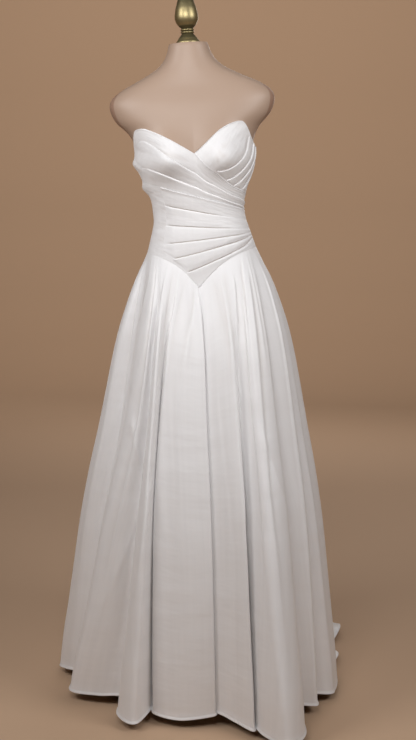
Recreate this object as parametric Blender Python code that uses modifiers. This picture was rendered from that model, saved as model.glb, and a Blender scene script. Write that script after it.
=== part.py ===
"""A strapless A-line wedding dress on a limbless dress form.

The gown is satin: a bodice of crossed, pleated drapes down to a pointed waist seam, and a long skirt
with deep unpressed folds, an underskirt and a short train. Every panel is its own closed wall of cloth.
Metres, +Z up. The front of the gown looks along -Y. The origin is the middle of the stand's underside.
"""
import math

import bmesh
import bpy
from mathutils import Vector

# Driving sizes
SEAM_GAP = 0.0003          # between sewn panels
CLOTH_CLEARANCE = 0.0016   # between the form and the inside of the bodice
BODICE_WALL = 0.0025       # pleated satin over its backing
SKIRT_WALL = 0.0015
UNDERSKIRT_WALL = 0.0010
WAIST_GAP = 0.0004         # each side of the waist seam
SKIRT_STAND_OFF = 0.0028   # from the bodice's inner face to the middle of the skirt's cloth
PLEAT_LIFT = 0.0026        # how far a pleat's folded edge stands proud
PLEAT_STEP = 0.0006        # half the height over which the edge falls back
PLEAT_ROOM = 0.0024        # the least height between two edges

NECK_TOP = 1.553
FORM_BOTTOM = 0.900
LEAN_ANGLE = math.radians(3.7)   # the form leans to its own right above the hip
LEAN_HEIGHT = 1.06
SECTION_POWER = 2.2
DRESSED_LOW = 1.000        # the form has closer rings where the bodice covers it
DRESSED_HIGH = 1.372
DRESSED_ROWS = 25

BUST_SPREAD = 0.066
BUST_HEIGHT = 1.285
BUST_DEPTH = 0.030

POINT_ANGLE = -4.0         # where the waist seam comes to its point, degrees from the front
POINT_HEIGHT = 0.995
SEAM_RISE = 0.088
SEAM_SPREAD = 42.0
SIDE_SEAM = 94.0
SIDE_STRIP = -50.0         # the pleated midriff starts here, beside a plain side-front panel

POLE_RADIUS = 0.014
BASE_RADIUS = 0.150
BASE_HEIGHT = 0.012

TRAIN_REST = 0.0030        # height of the middle of the cloth where it lies on the floor
FLOOR_BEND = 0.035

# Horizontal sections of the form: height, half width, depth to the front, depth to the back
FORM_SECTIONS = (
    (0.900, 0.126, 0.084, 0.092),
    (0.960, 0.132, 0.090, 0.097),
    (1.020, 0.134, 0.095, 0.100),
    (1.060, 0.129, 0.096, 0.096),
    (1.105, 0.116, 0.091, 0.086),
    (1.150, 0.1035, 0.083, 0.078),
    (1.175, 0.1015, 0.082, 0.078),
    (1.215, 0.111, 0.086, 0.083),
    (1.250, 0.125, 0.092, 0.089),
    (1.285, 0.135, 0.097, 0.093),
    (1.325, 0.138, 0.095, 0.094),
    (1.355, 0.152, 0.090, 0.092),
    (1.385, 0.180, 0.083, 0.089),
    (1.415, 0.192, 0.075, 0.084),
    (1.435, 0.187, 0.068, 0.078),
    (1.455, 0.162, 0.061, 0.071),
    (1.475, 0.121, 0.056, 0.065),
    (1.495, 0.083, 0.052, 0.060),
    (1.513, 0.062, 0.049, 0.055),
    (1.535, 0.050, 0.045, 0.050),
    (1.553, 0.045, 0.042, 0.046),
)

# The bodice's top edge: angle from the front in degrees, height. The two sides meet in the sweetheart dip.
NECKLINE_LEFT = (
    (-180.0, 1.285), (-125.0, 1.290), (-95.0, 1.305), (-78.0, 1.334), (-66.0, 1.360),
    (-58.0, 1.365), (-44.0, 1.348), (-30.0, 1.334), (-15.0, 1.317), (-1.0, 1.301),
)
NECKLINE_RIGHT = (
    (-1.0, 1.301), (11.0, 1.317), (23.0, 1.335), (36.0, 1.353), (46.0, 1.362), (54.0, 1.368),
    (60.0, 1.362), (65.0, 1.347), (70.0, 1.332), (78.0, 1.316), (95.0, 1.302), (125.0, 1.290), (180.0, 1.285),
)
DIP_ANGLE = -1.0

# The left drape's edge crosses over the right one and runs down to the right side seam
CROSSING_EDGE = ((-1.0, 1.301), (11.0, 1.273), (28.0, 1.248), (42.0, 1.227), (52.0, 1.217), (78.0, 1.203),
                 (94.0, 1.197))
# The lowest pleat of the left drape, where the midriff begins
UNDERBUST_LINE = ((-94.0, 1.247), (-78.0, 1.243), (-47.0, 1.228), (-30.0, 1.218), (3.0, 1.201), (25.0, 1.190),
                  (59.0, 1.173), (78.0, 1.166), (94.0, 1.162))

# Pleats of the left drape as shares of the way from its top edge to the underbust line:
# share at the left side, in the middle, at the right side
DRAPE_PLEATS = (
    (0.21, 0.45, 0.41),
    (0.70, 0.78, 0.79),
)
# Loose gathers that bulge at the left side seam: height, how far they stand out, half their height
SIDE_GATHERS = ((1.286, 0.0088, 0.015), (1.228, 0.0095, 0.012), (1.172, 0.0035, 0.018))
GATHER_REACH = 38.0        # degrees over which they flatten towards the front

# Pleats of the midriff, a fan: height under the middle of the front, rise for each degree to the right
MIDRIFF_PLEATS = (
    (1.168, -0.00037),
    (1.133, -0.00017),
    (1.104, 0.00010),
    (1.077, 0.00037),
    (1.044, 0.00070),
)

# Curved pleats of the right drape: arcs about a middle just under its neckline, by their radii
CUP_MIDDLE_ANGLE = 31.0
CUP_MIDDLE_HEIGHT = 1.339
CUP_DEGREE = 0.00227       # one degree round the form, as a length
CUP_PLEATS = (0.082, 0.105, 0.125, 0.150)

# The skirt's width down its length: height, share of the way from the seam to the hem's spread
SKIRT_SPREAD = (
    (0.000, 1.000), (0.060, 0.975), (0.122, 0.942), (0.184, 0.900), (0.307, 0.825), (0.429, 0.750),
    (0.549, 0.655), (0.667, 0.543), (0.784, 0.442), (0.843, 0.389), (0.900, 0.327), (0.958, 0.245),
    (0.991, 0.192), (1.020, 0.139), (1.048, 0.077), (1.090, 0.000),
)
MIDWAY = 0.600             # height at which the table below gives the folds' second place

# Folds of the skirt, round from the front's left: name, angle on the waist seam, place at MIDWAY (x, y),
# place at the hem (x, y), height of the hem there, length of cloth lying on the floor
SKIRT_FOLDS = (
    ("side_left_ridge", -97.0, -0.262, 0.000, -0.362, 0.078, 0.016, 0.00),
    ("side_left_turn", -88.0, -0.246, -0.062, -0.342, 0.040, 0.022, 0.00),
    ("side_left_valley", -80.0, -0.205, -0.085, -0.300, -0.012, 0.030, 0.00),
    ("second_left_ridge", -70.0, -0.195, -0.145, -0.316, -0.102, 0.024, 0.00),
    ("second_left_face", -62.0, -0.160, -0.176, -0.250, -0.136, 0.026, 0.00),
    ("second_left_valley", -55.0, -0.128, -0.176, -0.184, -0.156, 0.030, 0.00),
    ("first_left_edge", -49.0, -0.128, -0.206, -0.193, -0.236, 0.022, 0.00),
    ("first_left_ridge", -41.0, -0.114, -0.220, -0.152, -0.284, 0.020, 0.00),
    ("first_left_valley", -28.0, -0.101, -0.187, -0.111, -0.202, 0.030, 0.00),
    ("middle_left_rise", -21.0, -0.099, -0.206, -0.110, -0.236, 0.024, 0.00),
    ("middle_left_ridge", -14.0, -0.044, -0.224, -0.050, -0.268, 0.022, 0.00),
    ("middle_left_edge", -7.0, 0.012, -0.224, 0.026, -0.260, 0.028, 0.00),
    ("middle_valley", -4.0, 0.013, -0.213, 0.027, -0.247, 0.031, 0.00),
    ("middle_right_edge", 2.0, 0.032, -0.222, 0.052, -0.262, 0.030, 0.00),
    ("middle_right_ridge", 20.0, 0.087, -0.248, 0.115, -0.322, 0.020, 0.00),
    ("first_right_valley", 40.0, 0.091, -0.223, 0.114, -0.290, 0.026, 0.00),
    ("first_right_edge", 46.0, 0.114, -0.240, 0.142, -0.345, 0.018, 0.00),
    ("first_right_ridge", 53.0, 0.140, -0.258, 0.190, -0.390, 0.016, 0.00),
    ("first_right_turn", 60.0, 0.179, -0.228, 0.230, -0.336, 0.020, 0.00),
    ("second_right_valley", 66.0, 0.180, -0.180, 0.225, -0.212, 0.028, 0.00),
    ("second_right_ridge", 72.0, 0.225, -0.146, 0.268, -0.186, 0.022, 0.00),
    ("third_right_valley", 78.0, 0.220, -0.112, 0.268, -0.130, 0.025, 0.00),
    ("third_right_ridge", 84.0, 0.246, -0.080, 0.314, -0.104, 0.018, 0.00),
    ("side_right_turn", 92.0, 0.264, -0.016, 0.334, -0.010, 0.014, 0.00),
    ("side_right_valley", 99.0, 0.238, 0.036, 0.322, 0.050, 0.012, 0.01),
    ("train_right_1", 107.0, 0.262, 0.092, 0.356, 0.160, 0.012, 0.02),
    ("train_right_2", 115.0, 0.218, 0.122, 0.346, 0.240, 0.003, 0.05),
    ("train_right_3", 123.0, 0.224, 0.182, 0.380, 0.350, 0.018, 0.10),
    ("train_right_4", 133.0, 0.168, 0.184, 0.362, 0.432, 0.003, 0.17),
    ("train_right_5", 142.0, 0.162, 0.246, 0.322, 0.512, 0.022, 0.19),
    ("train_right_6", 151.0, 0.106, 0.226, 0.262, 0.584, 0.003, 0.24),
    ("train_right_7", 160.0, 0.092, 0.280, 0.190, 0.652, 0.026, 0.26),
    ("train_right_8", 170.0, 0.036, 0.246, 0.098, 0.670, 0.003, 0.29),
    ("train_middle", 180.0, 0.000, 0.286, 0.008, 0.700, 0.020, 0.29),
    ("train_left_8", 190.0, -0.036, 0.246, -0.084, 0.676, 0.003, 0.29),
    ("train_left_7", 200.0, -0.088, 0.282, -0.176, 0.668, 0.024, 0.27),
    ("train_left_6", 209.0, -0.108, 0.226, -0.256, 0.596, 0.003, 0.25),
    ("train_left_5", 218.0, -0.164, 0.242, -0.326, 0.540, 0.022, 0.20),
    ("train_left_4", 227.0, -0.170, 0.180, -0.364, 0.448, 0.003, 0.18),
    ("train_left_3", 236.0, -0.222, 0.170, -0.360, 0.368, 0.018, 0.10),
    ("train_left_2", 245.0, -0.218, 0.112, -0.346, 0.262, 0.003, 0.06),
    ("train_left_1", 253.0, -0.258, 0.080, -0.350, 0.180, 0.014, 0.02),
    ("side_left_back_valley", 258.0, -0.236, 0.040, -0.334, 0.124, 0.016, 0.01),
)
STEPS_BETWEEN_FOLDS = 2
# Shares of a fold's length at which the skirt has a row of points
SKIRT_ROWS = (0.0, 0.035, 0.09, 0.17, 0.27, 0.40, 0.54, 0.66, 0.75, 0.81, 0.87, 0.935, 1.0)

# Cut lines of the skirt's panels, each at a valley or at the middle of the back
SKIRT_PANELS = (
    ("skirt_front", "second_left_valley", "second_right_valley"),
    ("skirt_side_right", "second_right_valley", "train_right_4"),
    ("skirt_back_right", "train_right_4", "train_middle"),
    ("skirt_back_left", "train_middle", "train_left_4"),
    ("skirt_side_left", "train_left_4", "second_left_valley"),
)

# Underskirt: radius of its hem in front, at the sides and behind, and its hem's height
UNDERSKIRT_HEM = (0.182, 0.262, 0.330)
UNDERSKIRT_HEM_HEIGHT = 0.008
UNDERSKIRT_DROP = 0.018    # its top edge hangs this far under the waist seam
UNDERSKIRT_EASE = 0.0006
UNDERSKIRT_LOOSENING = 0.0035
HIP_HEIGHT = 0.970         # the underskirt is snug down to here
FLARE_HEIGHT = 0.990       # and flares out straight from here
UNDERSKIRT_COLUMNS = 36

# The finial's profile above the neck: radius, height over the neck's top
FINIAL_PROFILE = (
    (0.0000, 0.0003), (0.0275, 0.0003), (0.0275, 0.0040), (0.0255, 0.0075), (0.0200, 0.0140),
    (0.0150, 0.0200), (0.0130, 0.0220), (0.0155, 0.0235), (0.0155, 0.0260), (0.0135, 0.0275),
    (0.0155, 0.0290), (0.0155, 0.0315), (0.0130, 0.0330), (0.0180, 0.0380), (0.0245, 0.0470),
    (0.0275, 0.0560), (0.0265, 0.0670), (0.0225, 0.0820), (0.0180, 0.0960), (0.0140, 0.1100),
    (0.0110, 0.1240), (0.0095, 0.1360), (0.0080, 0.1450), (0.0045, 0.1510), (0.0000, 0.1530),
)

# Zip: the slider sits just under the top edge at the middle of the back
SLIDER_HEIGHT = 1.262
SLIDER_SIZE = (0.0080, 0.0022, 0.0110)
EAR_SIZE = (0.0013, 0.0042, 0.0040)
EAR_SPREAD = 0.0030
PIN_STANDOFF = 0.0048      # from the cloth to the pull's axis
PIN_RADIUS = 0.0012
PULL_NECK = (0.0038, 0.0011, 0.0070)
PULL_PLATE = (0.0062, 0.0011, 0.0150)

SATIN = (0.86, 0.84, 0.82)


def clear_scene():
    for thing in list(bpy.data.objects):
        bpy.data.objects.remove(thing, do_unlink=True)


def smooth(share):
    share = min(1.0, max(0.0, share))
    return share * share * (3.0 - 2.0 * share)


def read_table(table, column, at):
    """Value of a column where the first column is `at`, along a smooth curve through the rows."""
    keys = [row[0] for row in table]
    if at <= keys[0]:
        return table[0][column]
    if at >= keys[-1]:
        return table[-1][column]
    low = max(i for i in range(len(keys) - 1) if keys[i] <= at)

    def slope(i):
        before = max(i - 1, 0)
        after = min(i + 1, len(keys) - 1)
        return (table[after][column] - table[before][column]) / (keys[after] - keys[before])

    span = keys[low + 1] - keys[low]
    t = (at - keys[low]) / span
    start = (2 * t ** 3 - 3 * t ** 2 + 1) * table[low][column] + (t ** 3 - 2 * t ** 2 + t) * span * slope(low)
    end = (3 * t ** 2 - 2 * t ** 3) * table[low + 1][column] + (t ** 3 - t ** 2) * span * slope(low + 1)
    return start + end


def lean(point):
    """The form bends over gently above the hip. Below it everything hangs plumb."""
    x, y, z = point
    angle = LEAN_ANGLE * smooth((z - LEAN_HEIGHT + 0.08) / 0.14)
    up = z - LEAN_HEIGHT
    return Vector((x * math.cos(angle) - up * math.sin(angle), y,
                   LEAN_HEIGHT + up * math.cos(angle) + x * math.sin(angle)))


def body_point(degrees, height, out):
    """A point at `out` from the form's surface, at an angle from the front and a height before the lean."""
    angle = math.radians(degrees)
    side, ahead = math.sin(angle), math.cos(angle)
    half_width = read_table(FORM_SECTIONS, 1, height) + out
    depth = read_table(FORM_SECTIONS, 2 if ahead > 0 else 3, height) + out
    power = SECTION_POWER
    radius = ((abs(side) / half_width) ** power + (abs(ahead) / depth) ** power) ** (-1 / power)
    x, y = radius * side, -radius * ahead
    if ahead > 0:
        reach = 0.035 if height < BUST_HEIGHT else 0.055
        across = ((abs(x) - BUST_SPREAD) / 0.045) ** 2
        along = ((height - BUST_HEIGHT) / reach) ** 2
        y -= smooth(ahead / 0.5) * BUST_DEPTH * math.exp(-across - along)
    return lean((x, y, height))


def seam_height(degrees):
    """Height of the pointed waist seam at an angle from the front."""
    turn = (degrees - POINT_ANGLE + 180.0) % 360.0 - 180.0
    return POINT_HEIGHT + SEAM_RISE * math.tanh(abs(turn) / SEAM_SPREAD)


def neckline_height(degrees):
    if degrees < DIP_ANGLE:
        return read_table(NECKLINE_LEFT, 1, degrees)
    return read_table(NECKLINE_RIGHT, 1, degrees)


def make_material(name, colour, roughness, metallic=0.0):
    material = bpy.data.materials.new(name)
    material.use_nodes = True
    shader = material.node_tree.nodes["Principled BSDF"]
    shader.inputs["Base Color"].default_value = (*colour, 1.0)
    shader.inputs["Roughness"].default_value = roughness
    shader.inputs["Metallic"].default_value = metallic
    return material


def add_object(name, mesh, material, collection):
    piece = bpy.data.objects.new(name, mesh)
    piece.data.materials.clear()
    piece.data.materials.append(material)
    collection.objects.link(piece)
    return piece


def wall_mesh(name, outer, inner, closed_ring=False):
    """A closed wall between two grids of points, rows from the top down, columns round to the right."""
    shell = bmesh.new()
    rows, columns = len(outer), len(outer[0])
    face_out = [[shell.verts.new(point) for point in row] for row in outer]
    face_in = [[shell.verts.new(point) for point in row] for row in inner]
    last = columns if closed_ring else columns - 1
    for i in range(rows - 1):
        for j in range(last):
            k = (j + 1) % columns
            shell.faces.new((face_out[i][j], face_out[i + 1][j], face_out[i + 1][k], face_out[i][k]))
            shell.faces.new((face_in[i][j], face_in[i][k], face_in[i + 1][k], face_in[i + 1][j]))
    for j in range(last):
        k = (j + 1) % columns
        shell.faces.new((face_out[0][j], face_out[0][k], face_in[0][k], face_in[0][j]))
        shell.faces.new((face_out[-1][j], face_in[-1][j], face_in[-1][k], face_out[-1][k]))
    if not closed_ring:
        for i in range(rows - 1):
            shell.faces.new((face_out[i][0], face_in[i][0], face_in[i + 1][0], face_out[i + 1][0]))
            shell.faces.new((face_out[i][-1], face_out[i + 1][-1], face_in[i + 1][-1], face_in[i][-1]))
    bmesh.ops.recalc_face_normals(shell, faces=shell.faces)
    bmesh.ops.triangulate(shell, faces=shell.faces)
    mesh = bpy.data.meshes.new(name)
    shell.to_mesh(mesh)
    shell.free()
    mesh.shade_smooth()
    mesh.set_sharp_from_angle(angle=math.radians(50))
    return mesh


def spread_angles(start, end, step):
    count = max(1, round((end - start) / step))
    return [start + (end - start) * i / count for i in range(count + 1)]


# Dress form: a padded torso, a turned cap and finial, a pole and a round base
def build_form(collection):
    skin = make_material("form_cover", (0.78, 0.62, 0.54), 0.75)
    torso = bmesh.new()
    around = 38
    covered = [DRESSED_LOW + (DRESSED_HIGH - DRESSED_LOW) * i / DRESSED_ROWS for i in range(DRESSED_ROWS + 1)]
    below = [FORM_BOTTOM + 0.006, 0.960]
    above = [row[0] for row in FORM_SECTIONS if row[0] > DRESSED_HIGH + 0.008]
    heights = below + covered + above
    rings = [[body_point(360.0 * j / around, FORM_BOTTOM, -0.006) for j in range(around)]]
    rings += [[body_point(360.0 * j / around, height, 0.0) for j in range(around)] for height in heights]
    loops = [[torso.verts.new(point) for point in ring] for ring in rings]
    for low, high in zip(loops, loops[1:]):
        for j in range(around):
            k = (j + 1) % around
            torso.faces.new((low[j], low[k], high[k], high[j]))
    torso.faces.new(loops[-1])
    torso.faces.new(list(reversed(loops[0])))
    bmesh.ops.recalc_face_normals(torso, faces=torso.faces)
    bmesh.ops.triangulate(torso, faces=torso.faces)
    mesh = bpy.data.meshes.new("form_torso")
    torso.to_mesh(mesh)
    torso.free()
    mesh.shade_smooth()
    mesh.set_sharp_from_angle(angle=math.radians(50))
    add_object("form_torso", mesh, skin, collection)

    brass = make_material("antique_brass", (0.42, 0.34, 0.18), 0.35, 1.0)
    finial = turned_piece("form_finial", FINIAL_PROFILE, 18, brass, collection)
    finial.location = lean((0.0, 0.0, NECK_TOP))
    finial.rotation_euler = (0.0, -LEAN_ANGLE, 0.0)

    steel = make_material("stand_steel", (0.30, 0.29, 0.28), 0.35, 1.0)
    rim = 0.003
    base_profile = ((0.0, BASE_HEIGHT), (BASE_RADIUS - rim, BASE_HEIGHT), (BASE_RADIUS, BASE_HEIGHT - rim),
                    (BASE_RADIUS, 0.0), (0.0, 0.0))
    turned_piece("stand_base", base_profile, 40, steel, collection)
    top = FORM_BOTTOM - SEAM_GAP
    bottom = BASE_HEIGHT + SEAM_GAP
    bpy.ops.mesh.primitive_cylinder_add(vertices=20, radius=POLE_RADIUS, depth=top - bottom,
                                        location=(0.0, 0.0, (top + bottom) / 2))
    pole = bpy.context.object
    pole.name = "stand_pole"
    pole.data.materials.append(steel.copy())
    move_to(pole, collection)


def sorted_down(profile):
    """A turned profile runs from the top down."""
    return profile if profile[0][1] > profile[-1][1] else tuple(reversed(profile))


def turned_piece(name, profile, steps, material, collection):
    mesh = bpy.data.meshes.new(name)
    points = [(radius, 0.0, height) for radius, height in sorted_down(profile)]
    mesh.from_pydata(points, [(i, i + 1) for i in range(len(points) - 1)], [])
    piece = add_object(name, mesh, material.copy(), collection)
    screw = piece.modifiers.new("turn", "SCREW")
    screw.steps = steps
    screw.render_steps = steps
    screw.use_merge_vertices = True
    screw.merge_threshold = 0.0001
    screw.use_smooth_shade = True
    return piece


def move_to(piece, collection):
    for other in list(piece.users_collection):
        other.objects.unlink(piece)
    collection.objects.link(piece)


# Bodice: every panel is a patch of the form's surface moved out, with pleats raised on its face
def bodice_wall(name, outline, columns, material, collection):
    """`outline` gives for one column its angle and its rows, each a height and how far the face stands up."""
    outer, inner = [], []
    stacks = [outline(column) for column in columns]
    for i in range(len(stacks[0][1])):
        outer.append([body_point(angle, rows[i][0], CLOTH_CLEARANCE + BODICE_WALL + rows[i][1])
                      for angle, rows in stacks])
        inner.append([body_point(angle, rows[i][0], CLOTH_CLEARANCE) for angle, rows in stacks])
    return add_object(name, wall_mesh(name, outer, inner), material.copy(), collection)


def pleated_rows(top, bottom, lines, lift, between):
    """Rows from the top edge to the bottom one, with `between` rows in each pleat.

    Each pleat's folded edge faces up and lies on the pleat above it.
    """
    rows = [(top, lift)]
    count = len(lines)

    def slope(start, end, lip):
        for i in range(1, between + 1):
            share = i / (between + 1)
            rows.append((start + (end - start) * share, lip * (1.0 - share)))

    above, lip = top, lift
    for i, line in enumerate(lines):
        lowest = bottom + PLEAT_ROOM * (count - i)
        height = min(max(line, lowest), above - PLEAT_ROOM)
        slope(above, height + PLEAT_STEP, lip)
        lip = lift * smooth((line - lowest) / 0.004 + 0.5)
        rows.append((height + PLEAT_STEP, 0.0))
        rows.append((height - PLEAT_STEP, lip))
        above = height - PLEAT_STEP
    slope(above, bottom, lip)
    rows.append((bottom, 0.0))
    return rows


def gather(degrees, height):
    """How far the cloth bulges over the left side seam."""
    near = smooth(1.0 - (degrees + SIDE_SEAM) / GATHER_REACH)
    return near * sum(out * math.exp(-((height - middle) / half) ** 2) for middle, out, half in SIDE_GATHERS)


def drape_share(shares, degrees):
    left, middle, right = shares
    if degrees < 0:
        return middle + (left - middle) * smooth(-degrees / 70.0)
    return middle + (right - middle) * smooth(degrees / 60.0)


def fan_wall(name, outer, inner, material, collection):
    """A closed wall whose rings run out from a middle point to one closed edge."""
    shell = bmesh.new()
    sides = []
    for rings in (outer, inner):
        middle = shell.verts.new(rings[0][0])
        loops = [[shell.verts.new(point) for point in ring] for ring in rings[1:]]
        for j in range(len(loops[0])):
            k = (j + 1) % len(loops[0])
            shell.faces.new((middle, loops[0][j], loops[0][k]))
            for near, far in zip(loops, loops[1:]):
                shell.faces.new((near[j], far[j], far[k], near[k]))
        sides.append(loops[-1])
    face, back = sides
    for j in range(len(face)):
        k = (j + 1) % len(face)
        shell.faces.new((face[j], back[j], back[k], face[k]))
    bmesh.ops.recalc_face_normals(shell, faces=shell.faces)
    bmesh.ops.triangulate(shell, faces=shell.faces)
    mesh = bpy.data.meshes.new(name)
    shell.to_mesh(mesh)
    shell.free()
    mesh.shade_smooth()
    mesh.set_sharp_from_angle(angle=math.radians(50))
    add_object(name, mesh, material.copy(), collection)


def build_right_drape(lower_angles, half, edge, satin, collection):
    """The right drape, bounded by the neckline, the side seam and the left drape's crossing edge."""
    side = SIDE_SEAM - half
    border = [(angle, read_table(CROSSING_EDGE, 1, angle) + edge) for angle in lower_angles]
    border[0] = (DIP_ANGLE + half, border[0][1])
    low, high = border[-1][1], neckline_height(side)
    border += [(side, low + (high - low) * i / 4) for i in range(1, 4)]
    border += [(angle, neckline_height(angle)) for angle in reversed(spread_angles(DIP_ANGLE + 2.0, side, 7.5))]
    step = 0.001
    radii = [(0.018, 0.0), (0.034, 0.0), (0.050, 0.0), (0.066, 0.0)]
    for near, far in zip(CUP_PLEATS, CUP_PLEATS[1:] + (None,)):
        radii += [(near - step, 0.0), (near + step, 1.0)]
        if far:
            radii.append(((near + far) / 2, 0.6))
    rings = [[(CUP_MIDDLE_ANGLE, CUP_MIDDLE_HEIGHT, 0.0)]]
    for i, (radius, lift) in enumerate(radii):
        ring = []
        for angle, height in border:
            across = (angle - CUP_MIDDLE_ANGLE) * CUP_DEGREE
            along = height - CUP_MIDDLE_HEIGHT
            length = math.hypot(across, along)
            furthest = length * (1.0 - 0.03 * (len(radii) - i))
            share = min(radius, furthest) / length
            strength = lift if radius < furthest else 0.3
            ring.append((CUP_MIDDLE_ANGLE + share * (angle - CUP_MIDDLE_ANGLE),
                         CUP_MIDDLE_HEIGHT + share * along, strength * PLEAT_LIFT))
        rings.append(ring)
    rings.append([(angle, height, 0.4 * PLEAT_LIFT) for angle, height in border])
    face = CLOTH_CLEARANCE + BODICE_WALL
    outer = [[body_point(angle, height, face + lift) for angle, height, lift in ring] for ring in rings]
    inner = [[body_point(angle, height, CLOTH_CLEARANCE) for angle, height, lift in ring] for ring in rings]
    fan_wall("bodice_cup_right", outer, inner, satin, collection)


def build_bodice(collection):
    satin = make_material("bodice_satin", SATIN, 0.42)
    half = math.degrees(SEAM_GAP / 2 / 0.10)
    edge = SEAM_GAP / 2

    left_angles = spread_angles(-SIDE_SEAM + half, DIP_ANGLE, 6.5)
    right_angles = spread_angles(DIP_ANGLE, SIDE_SEAM - half, 6.5)

    def left_drape(degrees):
        top = read_table(CROSSING_EDGE, 1, degrees) - edge if degrees > DIP_ANGLE else neckline_height(degrees)
        bottom = read_table(UNDERBUST_LINE, 1, degrees) + edge
        lines = [top + (bottom - top) * drape_share(shares, degrees) for shares in DRAPE_PLEATS]
        fade = smooth((degrees + SIDE_SEAM + 6.0) / 16.0)
        rows = pleated_rows(top, bottom, lines, PLEAT_LIFT * fade, 3)
        return degrees, [(height, lift + gather(degrees, height)) for height, lift in rows]

    bodice_wall("bodice_cup_left", left_drape, left_angles + right_angles[1:], satin, collection)

    build_right_drape(right_angles, half, edge, satin, collection)

    # Midriff: a fan of pleats that run off the pointed seam on the left
    strip_angles = [angle for angle in left_angles if angle < SIDE_STRIP - 2.0] + [SIDE_STRIP - half]
    front_angles = [SIDE_STRIP + half] + [angle for angle in left_angles if angle > SIDE_STRIP + 2.0]
    front_angles += right_angles[1:]
    front_angles = sorted(set(front_angles + [POINT_ANGLE]))

    def midriff(degrees):
        top = read_table(UNDERBUST_LINE, 1, degrees) - edge
        bottom = seam_height(degrees) + WAIST_GAP
        fade = 0.35 + 0.65 * smooth((degrees - SIDE_STRIP) / 12.0)
        lines = [height + rise * degrees for height, rise in MIDRIFF_PLEATS]
        return degrees, pleated_rows(top, bottom, lines, PLEAT_LIFT * fade, 1)

    def plain_strip(degrees):
        top = read_table(UNDERBUST_LINE, 1, degrees) - edge
        bottom = seam_height(degrees) + WAIST_GAP
        heights = [top + (bottom - top) * i / 9 for i in range(10)]
        return degrees, [(height, gather(degrees, height)) for height in heights]

    bodice_wall("bodice_midriff_front", midriff, front_angles, satin, collection)
    bodice_wall("bodice_side_left", plain_strip, strip_angles, satin, collection)

    def back(degrees):
        signed = degrees if degrees <= 180.0 else degrees - 360.0
        top = neckline_height(signed)
        bottom = seam_height(degrees) + WAIST_GAP
        return degrees, [(top + (bottom - top) * i / 11, 0.0) for i in range(12)]

    bodice_wall("bodice_back_right", back, spread_angles(SIDE_SEAM + half, 180.0 - half, 8.5), satin, collection)
    bodice_wall("bodice_back_left", back, spread_angles(180.0 + half, 360.0 - SIDE_SEAM - half, 8.5), satin,
                collection)


# Skirt: one ring of folds from the waist seam to the hem and the train, cut into panels
def fold_point(fold, share):
    waist_angle, mid_x, mid_y, hem_x, hem_y, hem_z, train = fold[1:]
    top = body_point(waist_angle, seam_height(waist_angle) - WAIST_GAP, CLOTH_CLEARANCE + SKIRT_STAND_OFF)
    drop = top.z - hem_z
    hanging = drop / (drop + train)
    reach = math.hypot(hem_x, hem_y)
    touch = Vector((hem_x, hem_y)) * (1.0 - train / reach)
    middle = Vector((mid_x, mid_y))
    start = Vector((top.x, top.y))
    spread_top = read_table(SKIRT_SPREAD, 1, top.z)
    spread_end = read_table(SKIRT_SPREAD, 1, hem_z)
    bend = (read_table(SKIRT_SPREAD, 1, MIDWAY) - spread_top) / (spread_end - spread_top)
    way = min(1.0, share / hanging)
    level = top.z - drop * way
    t = (read_table(SKIRT_SPREAD, 1, level) - spread_top) / (spread_end - spread_top)
    place = (start * (t - bend) * (t - 1.0) / bend
             + middle * t * (t - 1.0) / (bend * (bend - 1.0))
             + touch * t * (t - bend) / (1.0 - bend))
    if train == 0.0:
        return Vector((place.x, place.y, level))
    beyond = max(0.0, share - hanging) / (1.0 - hanging)
    place = place + (Vector((hem_x, hem_y)) - touch) * beyond
    fall = top.z - drop * share / hanging
    soft = FLOOR_BEND * min(1.0, train / 0.1)
    settled = 0.5 * (fall + hem_z + math.sqrt((fall - hem_z) ** 2 + soft ** 2))
    rest = settled - 0.5 * soft * smooth(beyond) * soft / (soft + 0.2)
    return Vector((place.x, place.y, max(rest, TRAIN_REST)))


def skirt_grid():
    rows = []
    count = len(SKIRT_FOLDS)
    for share in SKIRT_ROWS:
        knots = [fold_point(fold, share) for fold in SKIRT_FOLDS]
        ring = []
        for i in range(count):
            a, b, c, d = (knots[(i + k) % count] for k in (-1, 0, 1, 2))
            for step in range(STEPS_BETWEEN_FOLDS):
                t = step / STEPS_BETWEEN_FOLDS
                point = (b * 2 + (c - a) * t + (a * 2 - b * 5 + c * 4 - d) * t ** 2
                         + (b * 3 - a - c * 3 + d) * t ** 3) * 0.5
                point.z = max(point.z, TRAIN_REST)
                ring.append(point)
        rows.append(ring)
    return rows


def seat_top_row(grid):
    """The skirt's top edge lies on the waist seam all round."""
    count = len(SKIRT_FOLDS)
    for i in range(count):
        start = SKIRT_FOLDS[i][1]
        end = SKIRT_FOLDS[(i + 1) % count][1]
        turn = (end - start) % 360.0
        for step in range(STEPS_BETWEEN_FOLDS):
            angle = start + turn * step / STEPS_BETWEEN_FOLDS
            height = seam_height(angle) - WAIST_GAP
            seat = body_point(angle, height, CLOTH_CLEARANCE + SKIRT_STAND_OFF)
            grid[0][i * STEPS_BETWEEN_FOLDS + step] = seat


def grid_normal(grid, i, j):
    columns = len(grid[0])
    up = grid[max(i - 1, 0)][j] - grid[min(i + 1, len(grid) - 1)][j]
    along = grid[i][(j + 1) % columns] - grid[i][(j - 1) % columns]
    return along.cross(up).normalized()


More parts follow.
